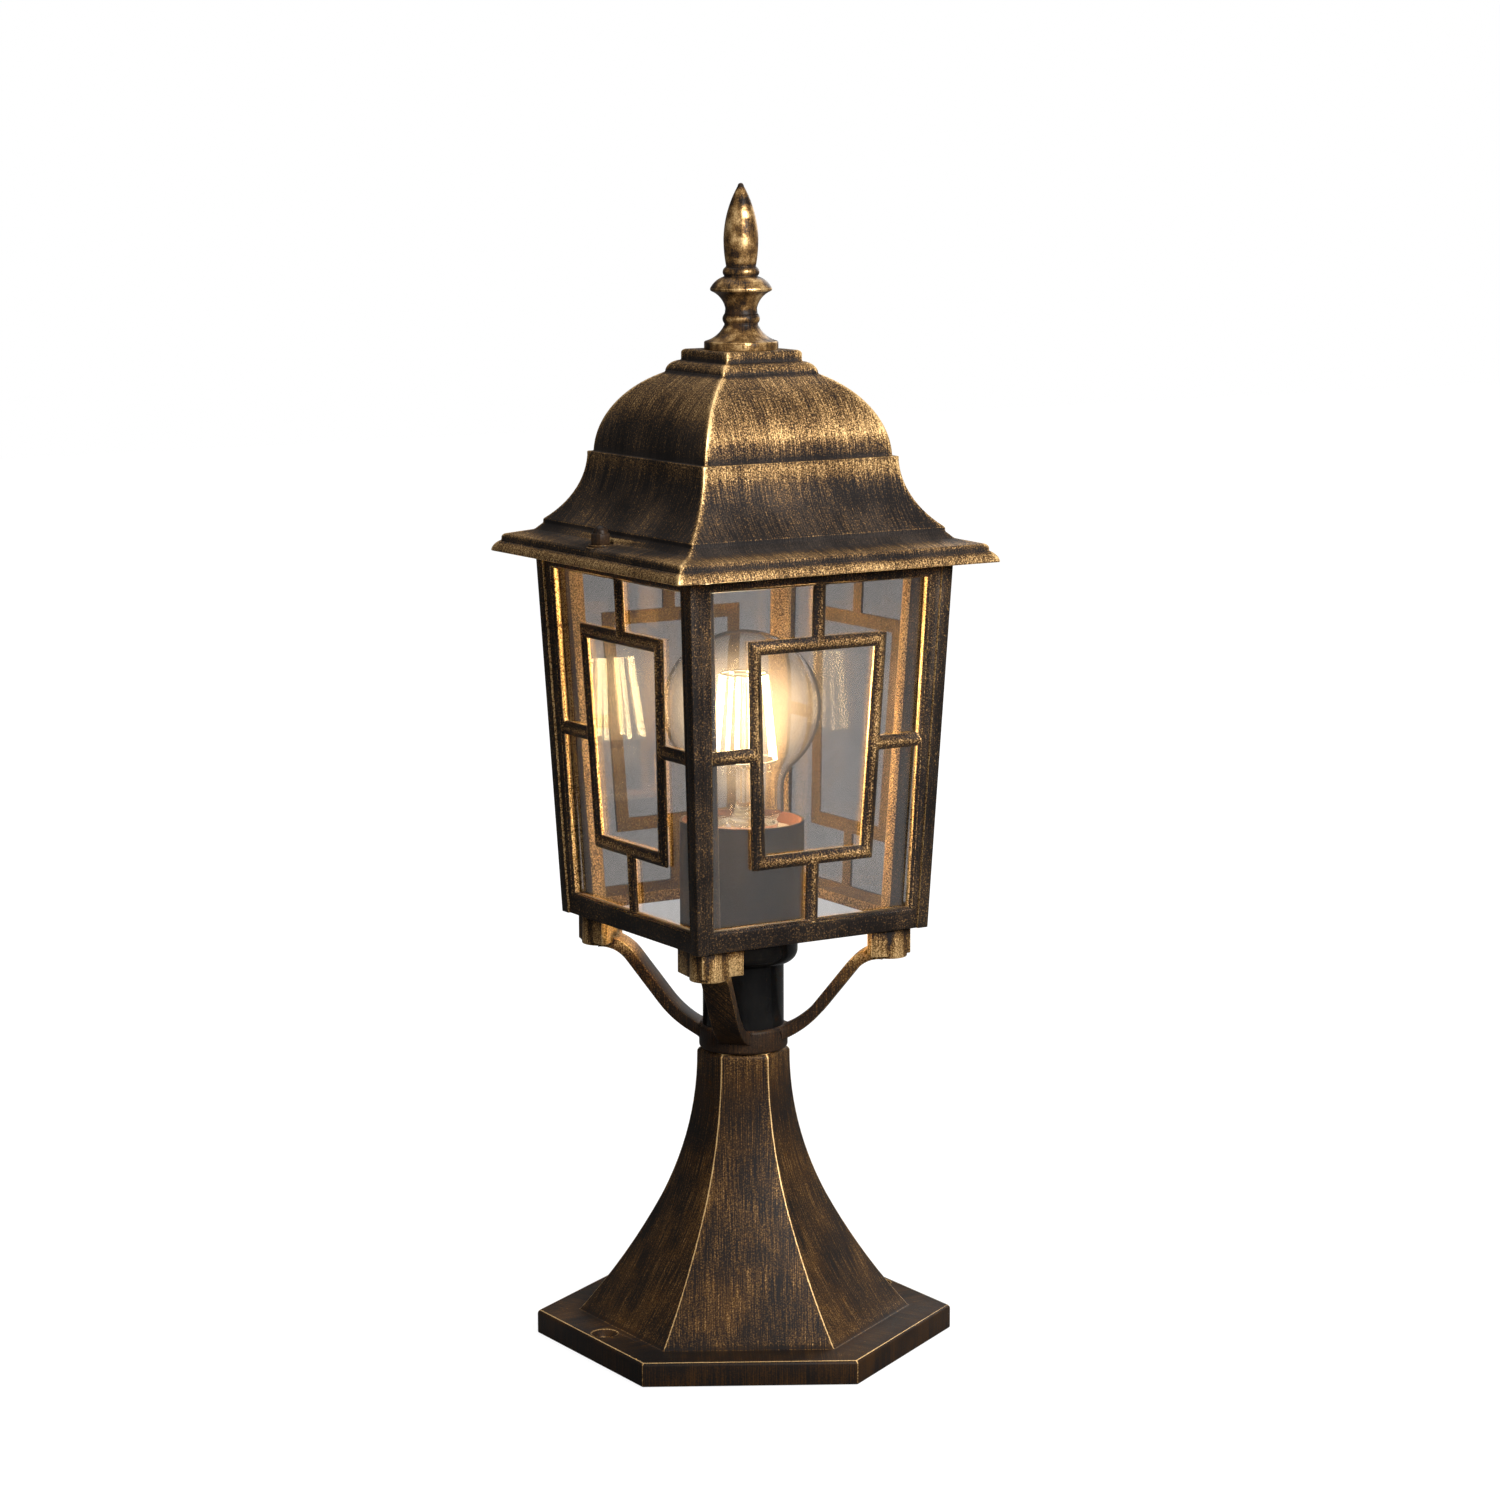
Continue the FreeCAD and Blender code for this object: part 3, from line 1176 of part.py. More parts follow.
parts = {
    "pedestal": make_pedestal(),
    "bracket": make_bracket(),
    "bracket_screws": make_bracket_screws(),
    "cage": make_cage(),
}
for side_name, quarter in (("front", 0), ("right", 90), ("back", 180), ("left", 270)):
    parts[f"glass_{side_name}"] = make_pane(f"Glass{side_name.title()}", quarter)
parts["roof"] = make_roof()
parts["roof_studs"], parts["roof_washers"], parts["roof_cap_nuts"] = make_roof_fixings()
parts["finial"] = make_finial()
parts["finial_stud"], parts["finial_washer"], parts["finial_nut"] = make_finial_fixings()
parts["threaded_nipple"], parts["nipple_washer"], parts["nipple_nut"] = make_nipple_set()
parts["lampholder_neck"] = make_neck()
parts["lampholder_sleeve"] = make_sleeve()
parts["lampholder_core"] = make_core()
parts["thread_shell"] = make_thread_shell()
parts["centre_contact"] = make_centre_contact()
parts["contact_rivets"] = make_rivets()
parts["terminal_blocks"], parts["terminal_screws"] = make_terminals()
parts["bulb_envelope"] = make_bulb_glass()
parts["bulb_contact"], parts["bulb_insulator"], parts["bulb_cap"] = make_bulb_cap_set()
parts["bulb_stem"] = make_bulb_stem()
parts["bulb_filaments"] = make_filaments()
parts["bulb_leads"] = make_leads()
write_parts(parts)
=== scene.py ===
import bmesh
import bpy
import math
from mathutils import Euler, Matrix, Vector
from mathutils.kdtree import KDTree


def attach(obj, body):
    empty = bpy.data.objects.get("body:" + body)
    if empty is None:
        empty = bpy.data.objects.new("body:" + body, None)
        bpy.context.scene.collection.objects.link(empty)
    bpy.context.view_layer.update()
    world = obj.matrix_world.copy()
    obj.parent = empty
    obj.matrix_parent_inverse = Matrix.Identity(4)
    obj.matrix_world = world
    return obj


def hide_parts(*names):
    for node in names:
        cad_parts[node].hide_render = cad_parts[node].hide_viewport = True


# Garden post light: a glazed lantern on a spider bracket and a flared hexagonal pedestal.
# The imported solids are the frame, in metres, and each section below finishes one piece of it.

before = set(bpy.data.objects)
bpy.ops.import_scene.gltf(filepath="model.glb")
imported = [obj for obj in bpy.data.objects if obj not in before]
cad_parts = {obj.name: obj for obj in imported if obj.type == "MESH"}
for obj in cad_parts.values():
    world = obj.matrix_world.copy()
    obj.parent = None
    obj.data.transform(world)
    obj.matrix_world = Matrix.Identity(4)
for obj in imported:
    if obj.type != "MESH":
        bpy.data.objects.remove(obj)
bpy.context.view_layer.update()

# Pedestal: one hollow aluminium casting, a flared hexagonal column on a hexagonal flange.
# It is painted black-brown and dry-brushed with gold, which catches on its edges and ridges.

MM = 0.001


class Shade:
    """A shader socket that can be used in sums. Plain numbers and other sockets both fit."""

    def __init__(self, tree, socket=None):
        self.tree = tree
        self.socket = socket

    def node(self, kind, settings, sockets, output=0):
        """Adds a node: its settings first, then the values or links of its sockets."""
        made = self.tree.nodes.new(f"ShaderNode{kind}")
        for name, setting in settings.items():
            setattr(made, name, setting)
        for name, value in sockets.items():
            if isinstance(value, Shade):
                self.tree.links.new(value.socket, made.inputs[name])
            else:
                made.inputs[name].default_value = value
        return Shade(self.tree, made.outputs[output])

    def math(self, operation, first, second):
        return self.node("Math", {"operation": operation}, {0: first, 1: second})

    def __add__(self, other):
        return self.math("ADD", self, other)

    def __radd__(self, other):
        return self.math("ADD", other, self)

    def __sub__(self, other):
        return self.math("SUBTRACT", self, other)

    def __rsub__(self, other):
        return self.math("SUBTRACT", other, self)

    def __mul__(self, other):
        return self.math("MULTIPLY", self, other)

    def at_most(self, other):
        return self.math("MINIMUM", self, other)

    def step(self, low, high):
        """0 below low and 1 above high, or the other way round where low is the larger."""
        sockets = {"Value": self, "From Min": low, "From Max": high}
        return self.node("MapRange", {"interpolation_type": "SMOOTHSTEP"}, sockets)

    def mix(self, off, on):
        """A colour from off to on as this value goes from 0 to 1."""
        return self.node("Mix", {"data_type": "RGBA"}, {0: self, 6: off, 7: on}, output=2)

    def along(self, stops):
        """A value that goes straight from stop to stop, each a place and the value there."""
        total = stops[0][1]
        for (low, before), (high, after) in zip(stops, stops[1:]):
            sockets = {"Value": self, "From Min": low, "From Max": high, "To Max": after - before}
            total = total + self.node("MapRange", {}, sockets)
        return total

    def noise(self, grain_mm, detail=2, stretch=(1, 1, 1)):
        """Noise on this vector, with features of about the given size."""
        scale = {"Vector": self, "Scale": stretch}
        spread = self.node("Mapping", {"vector_type": "TEXTURE"}, scale)
        sockets = {"Vector": spread, "Scale": 1 / (grain_mm * MM), "Detail": detail}
        return self.node("TexNoise", {}, sockets)


def new_material(name):
    """An empty material, with its object coordinates and a Principled shader on its output."""
    material = bpy.data.materials.new(name)
    material.use_nodes = True
    tree = material.node_tree
    tree.nodes.clear()
    shader = tree.nodes.new("ShaderNodeBsdfPrincipled")
    output = tree.nodes.new("ShaderNodeOutputMaterial")
    tree.links.new(shader.outputs[0], output.inputs["Surface"])
    here = Shade(tree).node("TexCoord", {}, {}, output="Object")
    return material, shader, here


def feed(shader, **sockets):
    """Sets or links a shader's sockets, named with underscores for spaces."""
    for name, value in sockets.items():
        socket = shader.inputs[name.replace("_", " ")]
        if isinstance(value, Shade):
            value.tree.links.new(value.socket, socket)
        else:
            socket.default_value = value


def antique_bronze(name, stops, edges, hips, brushed, specked, shelter=0.45, bulb_lit_lining=0.0, patched=0.0,
                   roughness=0.48, brown=(0.036, 0.0185, 0.0085, 1), shade_side_stops=None):
    """Black-brown paint dry-brushed with gold. The stops say how thick the gold is at which height in mm,
    edges and hips how far from them more gold reaches and how much, shelter how much less there is in
    inner corners and lining how much more there is on the inside, as painted light of the bulb there.
    Brushed, specked and patched say how much the strokes, specks and patches break it up. The side in
    painted shade has stops of its own, with thinner gold that paints the shade on that side."""
    dark = (0.0075, 0.006, 0.0055, 1)
    gold_dull = (0.28, 0.145, 0.045, 1)
    gold_bright = (0.74, 0.50, 0.23, 1)
    corner_reach = 2.6
    gilt_from, gilt_full = 0.2, 1.05
    bright_from, bright_full = 0.5, 1.2
    brown_from, brown_full = 0.35, 0.75
    material, shader, here = new_material(name)

    def near(attribute):
        return here.node("Attribute", {"attribute_name": attribute}, {}, output="Fac")

    height = here.node("SeparateXYZ", {}, {"Vector": here}, output="Z") * (1 / MM)
    brush = here.node("UVMap", {"uv_map": "brush"}, {})
    mottle = here.noise(22)
    grain = here.noise(0.55)
    hair = brush.noise(0.34, stretch=(1, 60, 1))
    stroke = brush.noise(1.3, stretch=(1, 24, 1))
    swath = brush.noise(6, stretch=(1, 4, 1))

    edge = near("edge_mm").step(edges[0], 0.3 * edges[0]) * edges[1]
    hip = near("hip_mm").step(hips[0], 0) * hips[1]
    cover = height.along(stops)
    # Painted shade: faces on the side the lamps light least follow their own thinner stops of gold.
    if shade_side_stops:
        cover = cover + near("painted_shade_faces") * (height.along(shade_side_stops) - cover)
    # Painted light: more gold on the inner faces stands in for the bulb's light falling on them.
    cover = cover + edge + hip + near("inside") * bulb_lit_lining

    uneven = (hair * 1.2 + stroke * 0.4 + swath * 0.3 - 0.95) * brushed + (grain - 0.5) * 1.2 * specked
    if patched:
        uneven = uneven + (here.noise(5, detail=3) - 0.5) * patched
    sheltered = near("corner_mm").step(corner_reach, 0) * shelter
    rubbed = cover + uneven + (mottle - 0.5) * 0.5 - sheltered

    gilt = rubbed.step(gilt_from, gilt_full)
    leaf = rubbed.step(bright_from, bright_full).mix(gold_dull, gold_bright)
    worn = hair + (mottle - 0.5) * 0.8 + (grain - 0.5) * 0.6
    paint = worn.step(brown_from, brown_full).mix(dark, brown)
    relief = {"Height": grain * 0.7 + hair * 0.5, "Strength": 0.25, "Distance": 0.2 * MM}
    feed(shader, Base_Color=gilt.mix(paint, leaf), Metallic=gilt * 0.75,
         Roughness=roughness + (grain - 0.5) * 0.3, Normal=here.node("Bump", {}, relief),
         Specular_IOR_Level=0.08)
    return material


def edge_trees(mesh):
    """Points along a mesh's outer edges, its sloping outer edges and its inner corners, for nearest finds."""
    least_angle = math.radians(24)
    least_slope = 0.25
    spacing = 0.5 * MM
    kinds = {"edge_mm": [], "hip_mm": [], "corner_mm": []}
    solid = bmesh.new()
    solid.from_mesh(mesh)
    for edge in solid.edges:
        if len(edge.link_faces) != 2 or edge.calc_face_angle() < least_angle:
            continue
        start, end = (corner.co for corner in edge.verts)
        length = (end - start).length
        count = max(1, round(length / spacing))
        points = [start.lerp(end, index / count) for index in range(count + 1)]
        outer = edge.calc_face_angle_signed() > 0
        kinds["edge_mm" if outer else "corner_mm"] += points
        if outer and abs(end.z - start.z) > least_slope * length:
            kinds["hip_mm"] += points
    solid.free()
    trees = {}
    for kind, points in kinds.items():
        trees[kind] = KDTree(len(points))
        for index, point in enumerate(points):
            trees[kind].insert(point, index)
        trees[kind].balance()
    return trees


def measure_edges(mesh, trees):
    """Keeps on every vertex how far it is from the nearest edge of each kind, in mm."""
    furthest = 20
    for kind, tree in trees.items():
        finds = (tree.find(corner.co)[2] for corner in mesh.vertices)
        reach = [furthest if found is None else min(furthest, found / MM) for found in finds]
        mesh.attributes.new(kind, "FLOAT", "POINT").data.foreach_set("value", reach)


def brush_map(mesh, sides, shade_side_heading):
    """Maps every face across and up its own side of the piece, the way the brush went, and marks the faces
    on the inside and those of the side that gets painted shade. No sides means round."""
    round_radius = 8 * MM
    least_sideways = 0.35
    same_side = 0.9
    layer = mesh.uv_layers.new(name="brush")
    places = []
    inward = []
    painted_shade_faces = []
    for polygon in mesh.polygons:
        inward.append(float(polygon.normal.xy.dot(polygon.center.xy) < 0))
        out = polygon.normal if polygon.normal.xy.length > least_sideways else polygon.center
        heading = math.atan2(out.y, out.x)
        if sides:
            turn = 2 * math.pi / sides
            heading = round(heading / turn) * turn
        # Faces on the side that gets painted shade.
        on_shade_side = shade_side_heading is not None and math.cos(heading - shade_side_heading) > same_side
        painted_shade_faces.append(float(on_shade_side))
        ahead = Vector((math.cos(heading), math.sin(heading), 0))
        beside = Vector((-ahead.y, ahead.x, 0))
        for index in polygon.vertices:
            corner = mesh.vertices[index].co
            if sides:
                places += [corner.dot(beside), corner.z - corner.dot(ahead)]
            else:
                around = heading + math.atan2(corner.dot(beside), corner.dot(ahead))
                places += [around * round_radius, corner.z]
    layer.data.foreach_set("uv", places)
    for name, marks in (("inside", inward), ("painted_shade_faces", painted_shade_faces)):
        mesh.attributes.new(name, "FLOAT", "FACE").data.foreach_set("value", marks)


def casting(node, sides, edge_round=0.45, hip_cuts=(), shade_side_heading=None):
    """A copy of a cast node with rounded edges, whose points carry how near they are to edges and corners.
    The hip cuts are places beside the square pieces' hips, in mm, where points are added."""
    weld_distance = 0.001 * MM
    flat_angle = math.radians(0.5)
    round_angle = math.radians(30)
    smooth_angle = math.radians(35)
    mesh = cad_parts[node].data.copy()
    piece = bpy.data.objects.new(f"{node}_casting", mesh)
    bpy.context.collection.objects.link(piece)
    bpy.ops.object.select_all(action="DESELECT")
    bpy.context.view_layer.objects.active = piece
    piece.select_set(True)
    bpy.ops.object.mode_set(mode="EDIT")
    bpy.ops.mesh.select_all(action="SELECT")
    bpy.ops.mesh.remove_doubles(threshold=weld_distance)
    bpy.ops.mesh.dissolve_limited(angle_limit=flat_angle)
    bpy.ops.object.mode_set(mode="OBJECT")
    trees = edge_trees(mesh)
    bevel = piece.modifiers.new("rounded_edges", "BEVEL")
    bevel.width = edge_round * MM
    bevel.segments = 2
    bevel.limit_method = "ANGLE"
    bevel.angle_limit = round_angle
    bevel.use_clamp_overlap = False
    bpy.ops.object.modifier_apply(modifier=bevel.name)
    bpy.ops.object.mode_set(mode="EDIT")
    for cut in hip_cuts:
        for lean in (-1, 1):
            for place in (-cut * MM, cut * MM):
                bpy.ops.mesh.select_all(action="SELECT")
                bpy.ops.mesh.bisect(plane_co=(place, 0, 0), plane_no=(1, lean, 0))
    bpy.ops.mesh.select_all(action="SELECT")
    bpy.ops.mesh.quads_convert_to_tris()
    bpy.ops.object.mode_set(mode="OBJECT")
    measure_edges(mesh, trees)
    brush_map(mesh, sides, shade_side_heading)
    bpy.ops.object.shade_smooth_by_angle(angle=smooth_angle)
    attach(piece, "root")
    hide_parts(node)
    return piece


def finish(piece, material):
    piece.data.materials.clear()
    piece.data.materials.append(material)


pedestal = casting("pedestal", sides=6, edge_round=0.6)
pedestal_gold = ((8, -0.2), (10.5, 0.3), (14, 0.24), (30, 0.22), (60, 0.29), (105, 0.1), (116, 0.34))
finish(pedestal, antique_bronze("pedestal_bronze", pedestal_gold, edges=(0.6, 0.65), hips=(0.6, 0.45),
                                brushed=0.95, specked=1.0, brown=(0.033, 0.0155, 0.0055, 1)))

# Bracket: one casting, a round hub with four S-shaped arms to the lantern's corners.
# It is clamped between pedestal and lampholder, and its bosses are rubbed to the gold.

bracket = casting("bracket", sides=4)
bracket_gold = ((118, -0.05), (126, 0.05), (132, 0.16), (150, 0.24), (156, 0.85), (163, 0.7), (167, 0.4))
finish(bracket, antique_bronze("bracket_bronze", bracket_gold, edges=(0.45, 0.3), hips=(0.45, 0),
                               brushed=0.5, specked=1.2))

# Cage: one tapered square casting with corner posts, rails and a rectangle of ridged bars a side.
# Four round pillars in its inner corners take the screws that come up through the bracket.

cage = casting("cage", sides=4, edge_round=0.3)
cage_gold = ((167, 0.14), (315, 0.2))
# The lining paints the bulb's light onto the cage's inner faces as extra gold.
finish(cage, antique_bronze("cage_bronze", cage_gold, edges=(0.3, 0.42), hips=(0.3, 0), brushed=0.25,
                            specked=1.8, shelter=0.0, bulb_lit_lining=0.6, brown=(0.026, 0.019, 0.0145, 1)))

# Roof: one hollow casting with an eave, flange, flare, ledge, dome and a stepped plate on top.
# The gold is thickest down its four hips and along its mouldings, and thinner on the left-hand side as
# painted shade.

roof = casting("roof", sides=4, edge_round=0.4, hip_cuts=(1.2, 2.4, 4.0), shade_side_heading=math.pi)
roof_gold = ((310, 0.62), (316, 0.5), (321, 0.42), (325, 0.16), (335, 0.14), (342, 0.26), (348, 0.62),
             (351, 0.55), (352, 0.28), (356, 0.38), (360, 0.72), (368, 0.54), (381, 0.5), (391, 0.46))
# Thinner gold on the left-hand side, as painted shade there.
shade_side_gold = ((310, 0.7), (316, 0.58), (321, 0.52), (325, 0.18), (342, 0.14), (349, 0.4), (351, 0.4),
               (352, 0.1), (362, 0.2), (370, 0.45), (381, 0.5), (391, 0.4))
finish(roof, antique_bronze("roof_bronze", roof_gold, edges=(0.4, 0.35), hips=(2.6, 0.5), brushed=0.9,
                            specked=1.5, brown=(0.028, 0.0215, 0.0175, 1), shade_side_stops=shade_side_gold))

# Finial: one turned casting with a flared foot, beads, a disc and a pointed bud.
# It is the most golden piece, with dark paint left in its hollows.

finial = casting("finial", sides=0, edge_round=0.4)
finial_gold = ((390, 0.6), (396, 0.5), (402, 0.5), (410, 0.54), (446, 0.6), (454, 0.45))
finish(finial, antique_bronze("finial_bronze", finial_gold, edges=(0.4, 0.25), hips=(0.4, 0), brushed=0.3,
                              specked=0.6, patched=2.0, roughness=0.36))

# Fastenings: zinc plated studs, screws, washers and nuts, and the hollow rod through the pedestal.
# The roof's two cap nuts and washers are painted and rubbed as the castings are.


def clouded(name, cloud_mm, span, dull, pale, smooth, uneven=0.0, detail=3, **sockets):
    """A plain material in soft clouds: its colour goes from dull to pale over their span, and its
    roughness up from smooth with them."""
    material, shader, here = new_material(name)
    cloud = here.noise(cloud_mm, detail)
    roughness = smooth + cloud * uneven if uneven else smooth
    feed(shader, Base_Color=cloud.step(*span).mix(dull, pale), Roughness=roughness, **sockets)
    return material


zinc = clouded("zinc_steel", 4, (0.35, 0.65), dull=(0.42, 0.41, 0.39, 1), pale=(0.62, 0.61, 0.58, 1),
               smooth=0.25, uneven=0.25, Metallic=1.0)
for node in ("bracket_screws", "roof_studs", "finial_stud", "finial_washer", "finial_nut", "threaded_nipple",
             "nipple_washer", "nipple_nut"):
    finish(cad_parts[node], zinc)
nut_bronze = antique_bronze("nut_bronze", ((310, 0.1), (330, 0.1)), edges=(0.2, 0.6), hips=(0.2, 0),
                            brushed=0, specked=0.8, roughness=0.36)
for node in ("roof_cap_nuts", "roof_washers"):
    finish(casting(node, sides=0, edge_round=0.2), nut_bronze)

# Lampholder: a glossy black moulded neck, a dark lacquered sleeve and a pale ceramic core.
# Brass contacts, rivets and terminal blocks sit inside, round the lamp's cap.


def lacquered_sleeve():
    """Dark grey outside, and reddish on the inner wall, as a painted glow of the bulb's warm light there."""
    inner_radius = 22.6 * MM
    span = (0.3, 0.75)
    material, shader, here = new_material("sleeve_lacquer")
    cloud = here.noise(6, detail=4)
    flat = here.node("VectorMath", {"operation": "MULTIPLY"}, {0: here, 1: (1, 1, 0)})
    radius = here.node("VectorMath", {"operation": "LENGTH"}, {0: flat}, output="Value")
    lacquer = cloud.step(*span).mix((0.010, 0.008, 0.0065, 1), (0.017, 0.013, 0.010, 1))
    # Painted glow: the inner wall's red stands in for the bulb's light on it.
    bulb_glow_red = cloud.step(*span).mix((0.10, 0.04, 0.022, 1), (0.17, 0.07, 0.04, 1))
    feed(shader, Base_Color=radius.step(inner_radius, inner_radius - 0.2 * MM).mix(lacquer, bulb_glow_red),
         Roughness=0.35 + cloud * 0.2, Specular_IOR_Level=0.25)
    return material


neck_plastic = clouded("black_moulding", 9, (0.3, 0.8), dull=(0.003, 0.003, 0.0032, 1),
                       pale=(0.006, 0.0058, 0.0056, 1), smooth=0.16, uneven=0.1, Specular_IOR_Level=0.1)
finish(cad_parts["lampholder_neck"], neck_plastic)
finish(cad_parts["lampholder_sleeve"], lacquered_sleeve())
ceramic = clouded("cream_ceramic", 3, (0.3, 0.75), dull=(0.62, 0.53, 0.40, 1), pale=(0.74, 0.66, 0.53, 1),
                  smooth=0.55, detail=4)
finish(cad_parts["lampholder_core"], ceramic)
brass = clouded("plain_brass", 3, (0.3, 0.7), dull=(0.5, 0.33, 0.12, 1), pale=(0.74, 0.55, 0.25, 1),
                smooth=0.28, uneven=0.2, Metallic=1.0)
for node in ("thread_shell", "centre_contact", "contact_rivets", "terminal_blocks", "terminal_screws",
             "bulb_contact"):
    finish(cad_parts[node], brass)

# Bulb: a clear blown lamp with lit filament rods in a cone round its glass stem.
# Its screw cap, black insulator and bottom contact are hidden in the lampholder.


def clear_glass(name, tint, index=1.45):
    """Glass that bends sight, lets the lamps' light straight through and is clouded a little."""
    material, shader, here = new_material(name)
    tree = here.tree
    clouded_tint = [part * 0.95 for part in tint[:3]] + [1]
    feed(shader, Base_Color=here.noise(18, detail=3).step(0.35, 0.65).mix(clouded_tint, tint), Roughness=0.0,
         IOR=index, Transmission_Weight=1.0)
    shadow = here.node("LightPath", {}, {}, output="Is Shadow Ray")
    clear = here.node("BsdfTransparent", {}, {"Color": [math.sqrt(part) for part in tint]})
    mixed = here.node("MixShader", {}, {0: shadow, 1: Shade(tree, shader.outputs[0]), 2: clear})
    output = next(item for item in tree.nodes if item.type == "OUTPUT_MATERIAL")
    tree.links.new(mixed.socket, output.inputs["Surface"])
    return material, shader, here


def envelope_painted_glow(low, high):
    """Clear blown glass with a painted glow of the filaments in it, from a little below low to a little above
    high.
    """
    glow_beside = 0.93
    glow_all_over = 0.04
    amber = (1.0, 0.7, 0.38, 1)
    material, shader, here = clear_glass("blown_glass", (0.98, 0.97, 0.95, 1), index=1.25)
    height = here.node("SeparateXYZ", {}, {"Vector": here}, output="Z")
    level = height.along(((low - 16 * MM, 0), (low + 6 * MM, 1), (high - 4 * MM, 1), (high + 14 * MM, 0)))
    facing = here.node("LayerWeight", {}, {"Blend": 0.5}, output="Facing")
    # Painted glow: the glass itself gives no light, so this emission stands in for the filaments' halo.
    glow = facing.step(0.5, 0) * level * glow_beside + facing.step(0.95, 0) * glow_all_over
    feed(shader, Emission_Color=glow.mix((0, 0, 0, 1), amber), Emission_Strength=0.75)
    return material


def stem_painted_glow():
    """The pressed glass foot that holds the filaments, with their light painted into it as a warm glow."""
    material, shader, here = clear_glass("stem_glass", (0.96, 0.96, 0.95, 1))
    # Painted glow: emission in the glass stands in for the filaments' light passing through it.
    glow = here.noise(3).step(0.3, 0.7).mix((0.55, 0.34, 0.16, 1), (1.0, 0.72, 0.42, 1))
    feed(shader, Emission_Color=glow, Emission_Strength=0.22)
    return material


def lit_phosphor():
    """Yellow phosphor on a rod, brighter where the grains under it shine through."""
    material, shader, here = new_material("lit_phosphor")
    grains = here.noise(1.2)
    feed(shader, Base_Color=(1.0, 0.8, 0.4, 1), Roughness=0.5, Emission_Strength=400.0,
         Emission_Color=grains.step(0.3, 0.7).mix((1.0, 0.74, 0.38, 1), (1.0, 0.82, 0.47, 1)))
    return material


filament_heights = [corner[2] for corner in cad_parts["bulb_filaments"].bound_box]
filament_foot = min(filament_heights)
filament_top = max(filament_heights)
finish(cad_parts["bulb_envelope"], envelope_painted_glow(filament_foot, filament_top))
finish(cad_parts["bulb_stem"], stem_painted_glow())
finish(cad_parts["bulb_filaments"], lit_phosphor())
finish(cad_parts["bulb_leads"], zinc)
rolled_cap = clouded("rolled_cap", 5, (0.3, 0.7), dull=(0.5, 0.49, 0.47, 1), pale=(0.72, 0.71, 0.69, 1),
                     smooth=0.25, uneven=0.2, Metallic=1.0)
finish(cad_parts["bulb_cap"], rolled_cap)
insulator = clouded("black_insulator", 3, (0.3, 0.8), dull=(0.01, 0.01, 0.012, 1),
                    pale=(0.03, 0.03, 0.032, 1), smooth=0.1, uneven=0.1)
finish(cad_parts["bulb_insulator"], insulator)

bulb_light = bpy.data.lights.new("bulb_light", "POINT")
bulb_light.energy = 4.5
bulb_light.color = (1.0, 0.78, 0.45)
bulb_light.shadow_soft_size = 6 * MM
bulb_lamp = bpy.data.objects.new("bulb_lamp", bulb_light)
bulb_lamp.location = (0, 0, (filament_foot + filament_top) / 2)
bulb_lamp.visible_camera = False
bulb_lamp.visible_transmission = False
bpy.context.collection.objects.link(bulb_lamp)

# Glass panes: four flat sheets of grey glass, each trapped between the cage's wall and its pillars.
# They mirror the lit filaments, so their index is higher than that of plain glass.

pane_glass = clear_glass("grey_pane", (0.53, 0.515, 0.505, 1), index=2.0)[0]
for side in ("front", "right", "back", "left"):
    finish(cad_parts[f"glass_{side}"], pane_glass)

# Stage: a white floor under a white sky, both bright to the eye and dim to the metal and the glass.
# A soft key lamp stands in front, with weaker lamps on the left, overhead and behind on the right.

floor_size = 8
bpy.ops.mesh.primitive_plane_add(size=floor_size, location=(0, 0, -0.5 * MM))
floor = bpy.context.object
floor.name = "floor"


def in_sight(maker):
    """1 for what the camera sees, also through glass, and less for what is mirrored in metal or glass."""
    mirrored = 0.06

    def path(output):
        return maker.node("LightPath", {}, {}, output=output)

    straight = 1 - (path("Diffuse Depth") + path("Glossy Depth")).at_most(1)
    return path("Is Camera Ray") + path("Is Transmission Ray") * straight + path("Is Glossy Ray") * mirrored


def white_floor():
    """A little greyer round the foot, so that the lamps' light on it comes to white there too."""
    near_edge, far_edge = 0.25, 1.0
    material, shader, here = new_material("white_floor")
    feed(shader, Base_Color=(0.12, 0.12, 0.12, 1), Roughness=0.9, Specular_IOR_Level=0.1)
    away = here.node("VectorMath", {"operation": "LENGTH"}, {0: here}, output="Value")
    white = away.step(near_edge, far_edge).mix((0.91, 0.91, 0.91, 1), (1, 1, 1, 1))
    feed(shader, Emission_Color=in_sight(here).mix((0, 0, 0, 1), white), Emission_Strength=1.0)
    return material


finish(floor, white_floor())


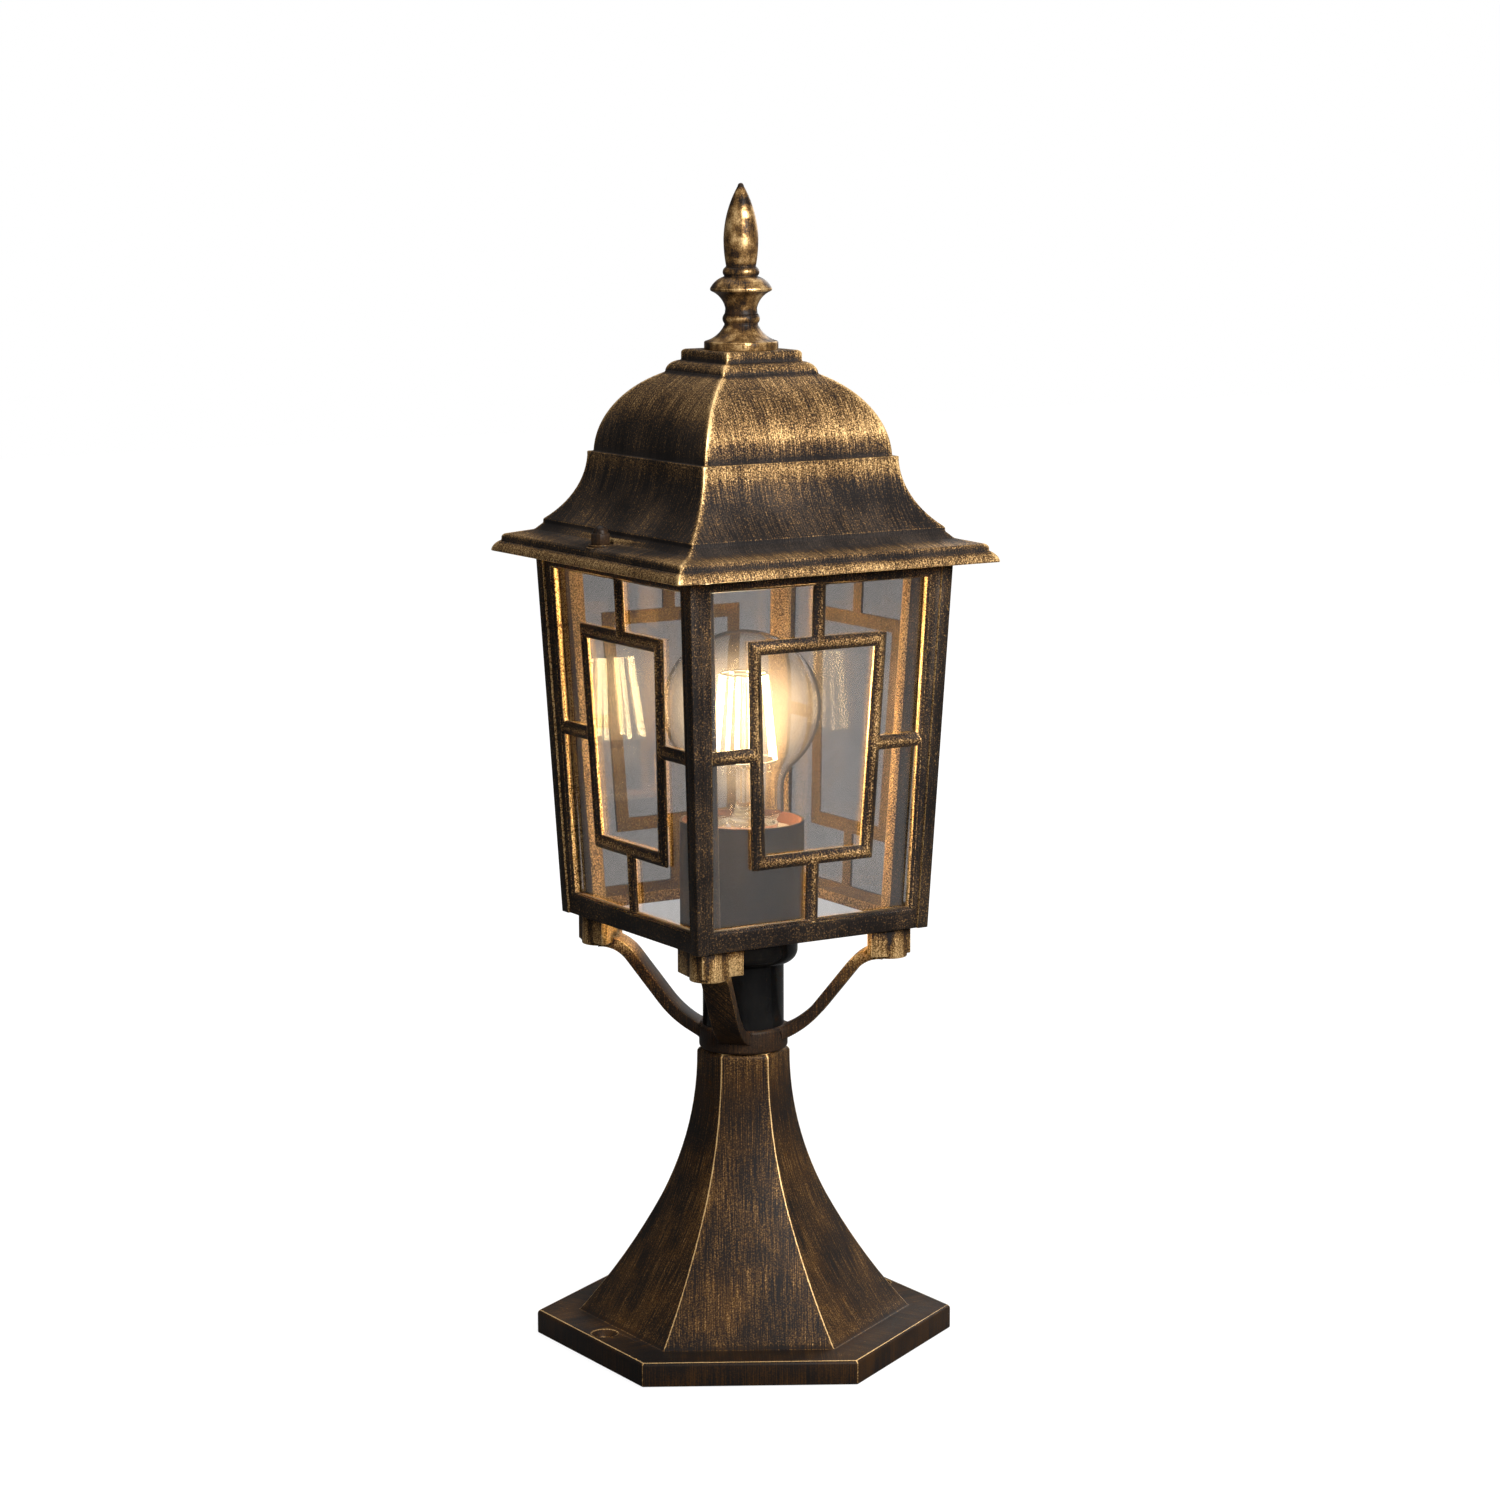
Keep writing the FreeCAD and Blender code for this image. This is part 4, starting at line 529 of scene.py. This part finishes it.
def soft_lamp(name, place, aim, size, power):
    data = bpy.data.lights.new(name, "AREA")
    data.size = size
    data.energy = power
    lamp = bpy.data.objects.new(name, data)
    lamp.location = place
    lamp.rotation_euler = (Vector(aim) - Vector(place)).to_track_quat("-Z", "Y").to_euler()
    bpy.context.collection.objects.link(lamp)


middle = (0, 0, 0.25)
soft_lamp("key_lamp", place=(0.05, -1.35, 0.95), aim=(0, 0, 0.33), size=0.8, power=48)
soft_lamp("fill_lamp", place=(-1.9, -0.5, 0.7), aim=middle, size=1.4, power=5)
soft_lamp("top_lamp", place=(0.1, 0.3, 2.0), aim=middle, size=1.5, power=20)
soft_lamp("rear_lamp", place=(1.6, 1.0, 1.0), aim=middle, size=1.2, power=12)

ambient = 0.1
world = bpy.data.worlds.new("studio")
bpy.context.scene.world = world
world.use_nodes = True
sky = Shade(world.node_tree)
sky.tree.nodes.clear()
strength = in_sight(sky) * (1 - ambient) + ambient
backdrop = sky.node("Background", {}, {"Color": (1, 1, 1, 1), "Strength": strength})
sky.tree.links.new(backdrop.socket, sky.tree.nodes.new("ShaderNodeOutputWorld").inputs["Surface"])

# Camera: a long lens a little above the lantern's middle, off the corner between two faces.
# It stands where the photo's camera stood, with the same small turns of its axis.

camera_distance = 1.54026
camera_height = 0.48170
camera_azimuth = math.radians(-31.7615)
camera_yaw = math.radians(-0.1092)
camera_pitch = math.radians(-9.1083)
camera_roll = math.radians(-0.1602)
camera_data = bpy.data.cameras.new("camera")
camera_data.sensor_width = 36
camera_data.lens = 95.872
camera_data.clip_end = 20
camera = bpy.data.objects.new("camera", camera_data)
camera.location = (math.sin(camera_azimuth) * camera_distance, -math.cos(camera_azimuth) * camera_distance,
                   camera_height)
aim = Euler((math.pi / 2 + camera_pitch, 0, camera_azimuth + camera_yaw)).to_matrix()
camera.rotation_euler = (aim @ Matrix.Rotation(camera_roll, 3, "Z")).to_euler()
bpy.context.collection.objects.link(camera)
bpy.context.scene.camera = camera
bpy.context.scene.view_settings.view_transform = "Standard"
